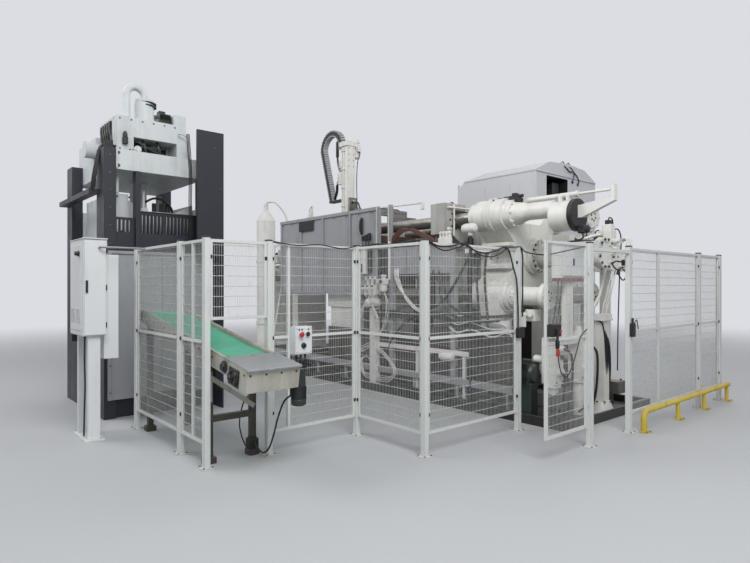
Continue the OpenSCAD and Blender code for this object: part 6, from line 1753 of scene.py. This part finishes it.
@dataclass
class GuardRail:
    """The anchors and end cap of the yellow rail."""

    feet: tuple[float, ...] = (-0.38, 0.62, 1.53, 2.43)

    def build(self) -> None:
        """Adds an anchor at each foot and the cap at the far end."""
        heads = Forge()
        for y in self.feet:
            heads.row((4.966, y - 0.04, 0.012), (4.966, y + 0.04, 0.012), UP, 2, 0.01)
        heads.write("guard_rail_anchors", BOLT_STEEL, "rail_yellow")
        cap = Forge()
        cap.turned((4.915, 2.49, 0.245), FAR, ((0, 0.034), (0.003, 0.036), (0.008, 0.03)))
        cap.write("guard_rail_cap", LOCK_BLACK, "rail_yellow")


CAD_FINISH: dict[Finish, tuple[str, ...]] = {
    TRAY_BLACK: ("drip_tray",),
    BED_GREY_AND_SHADE: ("machine_base",),
    IVORY: ("fixed_platen", "rear_platen", "tie_bar_barrels", "tie_bar_puller", "closing_cylinder", "shot_frame",
            "gas_bottles", "valve_post", "spray_mast", "terminal_cabinet", "valve_manifold", "pump_group"),
    TIE_BAR_STEEL: ("tie_bar_upper_near", "tie_bar_upper_far", "tie_bar_lower_near", "tie_bar_lower_far",
                    "closing_rod"),
    PLATEN_GREY: ("moving_platen",),
    PLATEN_STEEL: ("shot_cylinder", "spray_carriage", "spray_head"),
    DIE_STEEL: ("moving_die_half", "fixed_die_half"),
    GUARD_GREY: ("guard_near", "guard_far", "lower_guard_panel", "press_cover"),
    CHAIN_BLACK: ("energy_chain",),
    HOUSING_GREY: ("hydraulic_housing", "housing_roof"),
    FENCE_GREY: ("fence_posts", "gate_leaf", *(f"fence_panel_{i}" for i in range(1, 9))),
    LOCK_BLACK: ("gate_lock",),
    CABINET_WHITE: ("operator_box", "control_cabinet"),
    RAIL_YELLOW: ("guard_rail",),
    CONVEYOR_BEIGE: ("conveyor_frame",),
    BELT_GREEN: ("conveyor_belt",),
    LEG_BROWN: ("conveyor_legs",),
    MOTOR_GREEN: ("conveyor_motor",),
    PRESS_DARK: ("press_frame", "press_door", "press_side_panel"),
    PRESS_LIGHT: ("press_crown", "press_slide", "press_hydraulic_unit", "press_filter_pipe"),
    BOLSTER_STEEL: ("press_bolster",),
}


def dress_frame() -> None:
    """Gives each piece of the frame its finish."""
    for finish, names in CAD_FINISH.items():
        for name in names:
            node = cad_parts[name]
            node.data.materials.clear()
            node.data.materials.append(PAINTS(finish))
            for polygon in node.data.polygons:
                polygon.material_index = 0


@dataclass
class Studio:
    """Floor, light and camera."""

    camera: Point = (7.9, -7.175, 1.738)
    look: Point = (-0.7578, 0.6525, 0.0)
    lens: float = 27.0
    horizon_shift: float = 0.006
    floor_colour: str = "#b7b9bb"
    backdrop: tuple[float, float, float, float] = (0.93, 0.95, 1.0, 1.0)
    backdrop_strength: float = 0.76
    world_strength: float = 0.36

    def floor(self) -> None:
        """Lays the plain pale floor."""
        mesh = bpy.data.meshes.new("floor")
        reach = 180.0
        mesh.from_pydata([(-reach, -reach, 0), (reach, -reach, 0), (reach, reach, 0), (-reach, reach, 0)], [],
                         [(0, 1, 2, 3)])
        # Pale matt floor that runs into the backdrop's colour where it is far off
        mat, tree, place = start_material("floor_pale")
        far = add(tree, "ShaderNodeVectorMath", {0: place}, operation="LENGTH")
        faded = add(tree, "ShaderNodeMapRange", {"Value": far.outputs["Value"], "From Min": 6.0, "From Max": 21.0},
                    interpolation_type="SMOOTHSTEP")
        seen = add(tree, "ShaderNodeLightPath").outputs["Is Camera Ray"]
        share = add(tree, "ShaderNodeMath", {0: faded, 1: seen}, operation="MULTIPLY")
        matt = add(tree, "ShaderNodeBsdfPrincipled", {"Base Color": linear(self.floor_colour), "Roughness": 0.7})
        air = add(tree, "ShaderNodeEmission", {"Color": self.backdrop, "Strength": self.backdrop_strength})
        both = add(tree, "ShaderNodeMixShader", {0: share, 1: matt, 2: air})
        add(tree, "ShaderNodeOutputMaterial", {"Surface": both})
        mesh.materials.append(mat)
        ground = bpy.data.objects.new("floor", mesh)
        bpy.context.scene.collection.objects.link(ground)

    def light(self) -> None:
        """Sets a soft sky and large lamps above the cell."""
        world = bpy.data.worlds.new("sky")
        bpy.context.scene.world = world
        world.use_nodes = True
        tree = world.node_tree
        tree.nodes.clear()
        rays = add(tree, "ShaderNodeLightPath")
        seen = add(tree, "ShaderNodeMath", {0: rays.outputs["Is Camera Ray"], 1: rays.outputs["Is Glossy Ray"]},
                   operation="MAXIMUM")
        level = add(tree, "ShaderNodeMapRange",
                    {"Value": seen, "To Min": self.world_strength, "To Max": self.backdrop_strength})
        sky = add(tree, "ShaderNodeBackground", {"Color": self.backdrop, "Strength": level})
        add(tree, "ShaderNodeOutputWorld", {"Surface": sky})
        for name, place, size, power in (("lamp_front", (9.0, -6.0, 8.5), 5.5, 700.0),
                                         ("lamp_left", (-3.0, -9.0, 9.0), 5.0, 380.0),
                                         ("lamp_back", (2.0, 7.0, 10.0), 7.0, 360.0)):
            lamp = bpy.data.lights.new(name, "AREA")
            lamp.size = size
            lamp.energy = power
            holder = bpy.data.objects.new(name, lamp)
            holder.location = place
            holder.rotation_euler = (Vector((0.5, -1.5, 1.0)) - Vector(place)).to_track_quat("-Z", "Y").to_euler()
            bpy.context.scene.collection.objects.link(holder)

    def shoot(self) -> None:
        """Places the camera at the photograph's viewing angle."""
        data = bpy.data.cameras.new("camera")
        data.lens = self.lens
        data.sensor_width = 36.0
        data.shift_y = self.horizon_shift
        data.clip_end = 400.0
        camera = bpy.data.objects.new("camera", data)
        camera.location = self.camera
        camera.rotation_euler = Vector(self.look).to_track_quat("-Z", "Y").to_euler()
        bpy.context.scene.collection.objects.link(camera)
        bpy.context.scene.camera = camera

    def build(self) -> None:
        """Sets the stage."""
        bpy.context.scene.view_settings.view_transform = "Standard"
        self.floor()
        self.light()
        self.shoot()


def main() -> None:
    """Builds every sub-assembly in order."""
    logging.basicConfig(level=logging.INFO, format="%(message)s")
    Studio().build()
    dress_frame()
    for part in (GuardFence, OperatorBox, OutfeedConveyor, SprayUnit, TrimPress, ControlCabinet, HydraulicHousing,
                 ClosingEnd, DieSpace, AirPanel, MachineBed, ShotEnd, GuardRail):
        part().build()


if __name__ == "__main__":
    main()
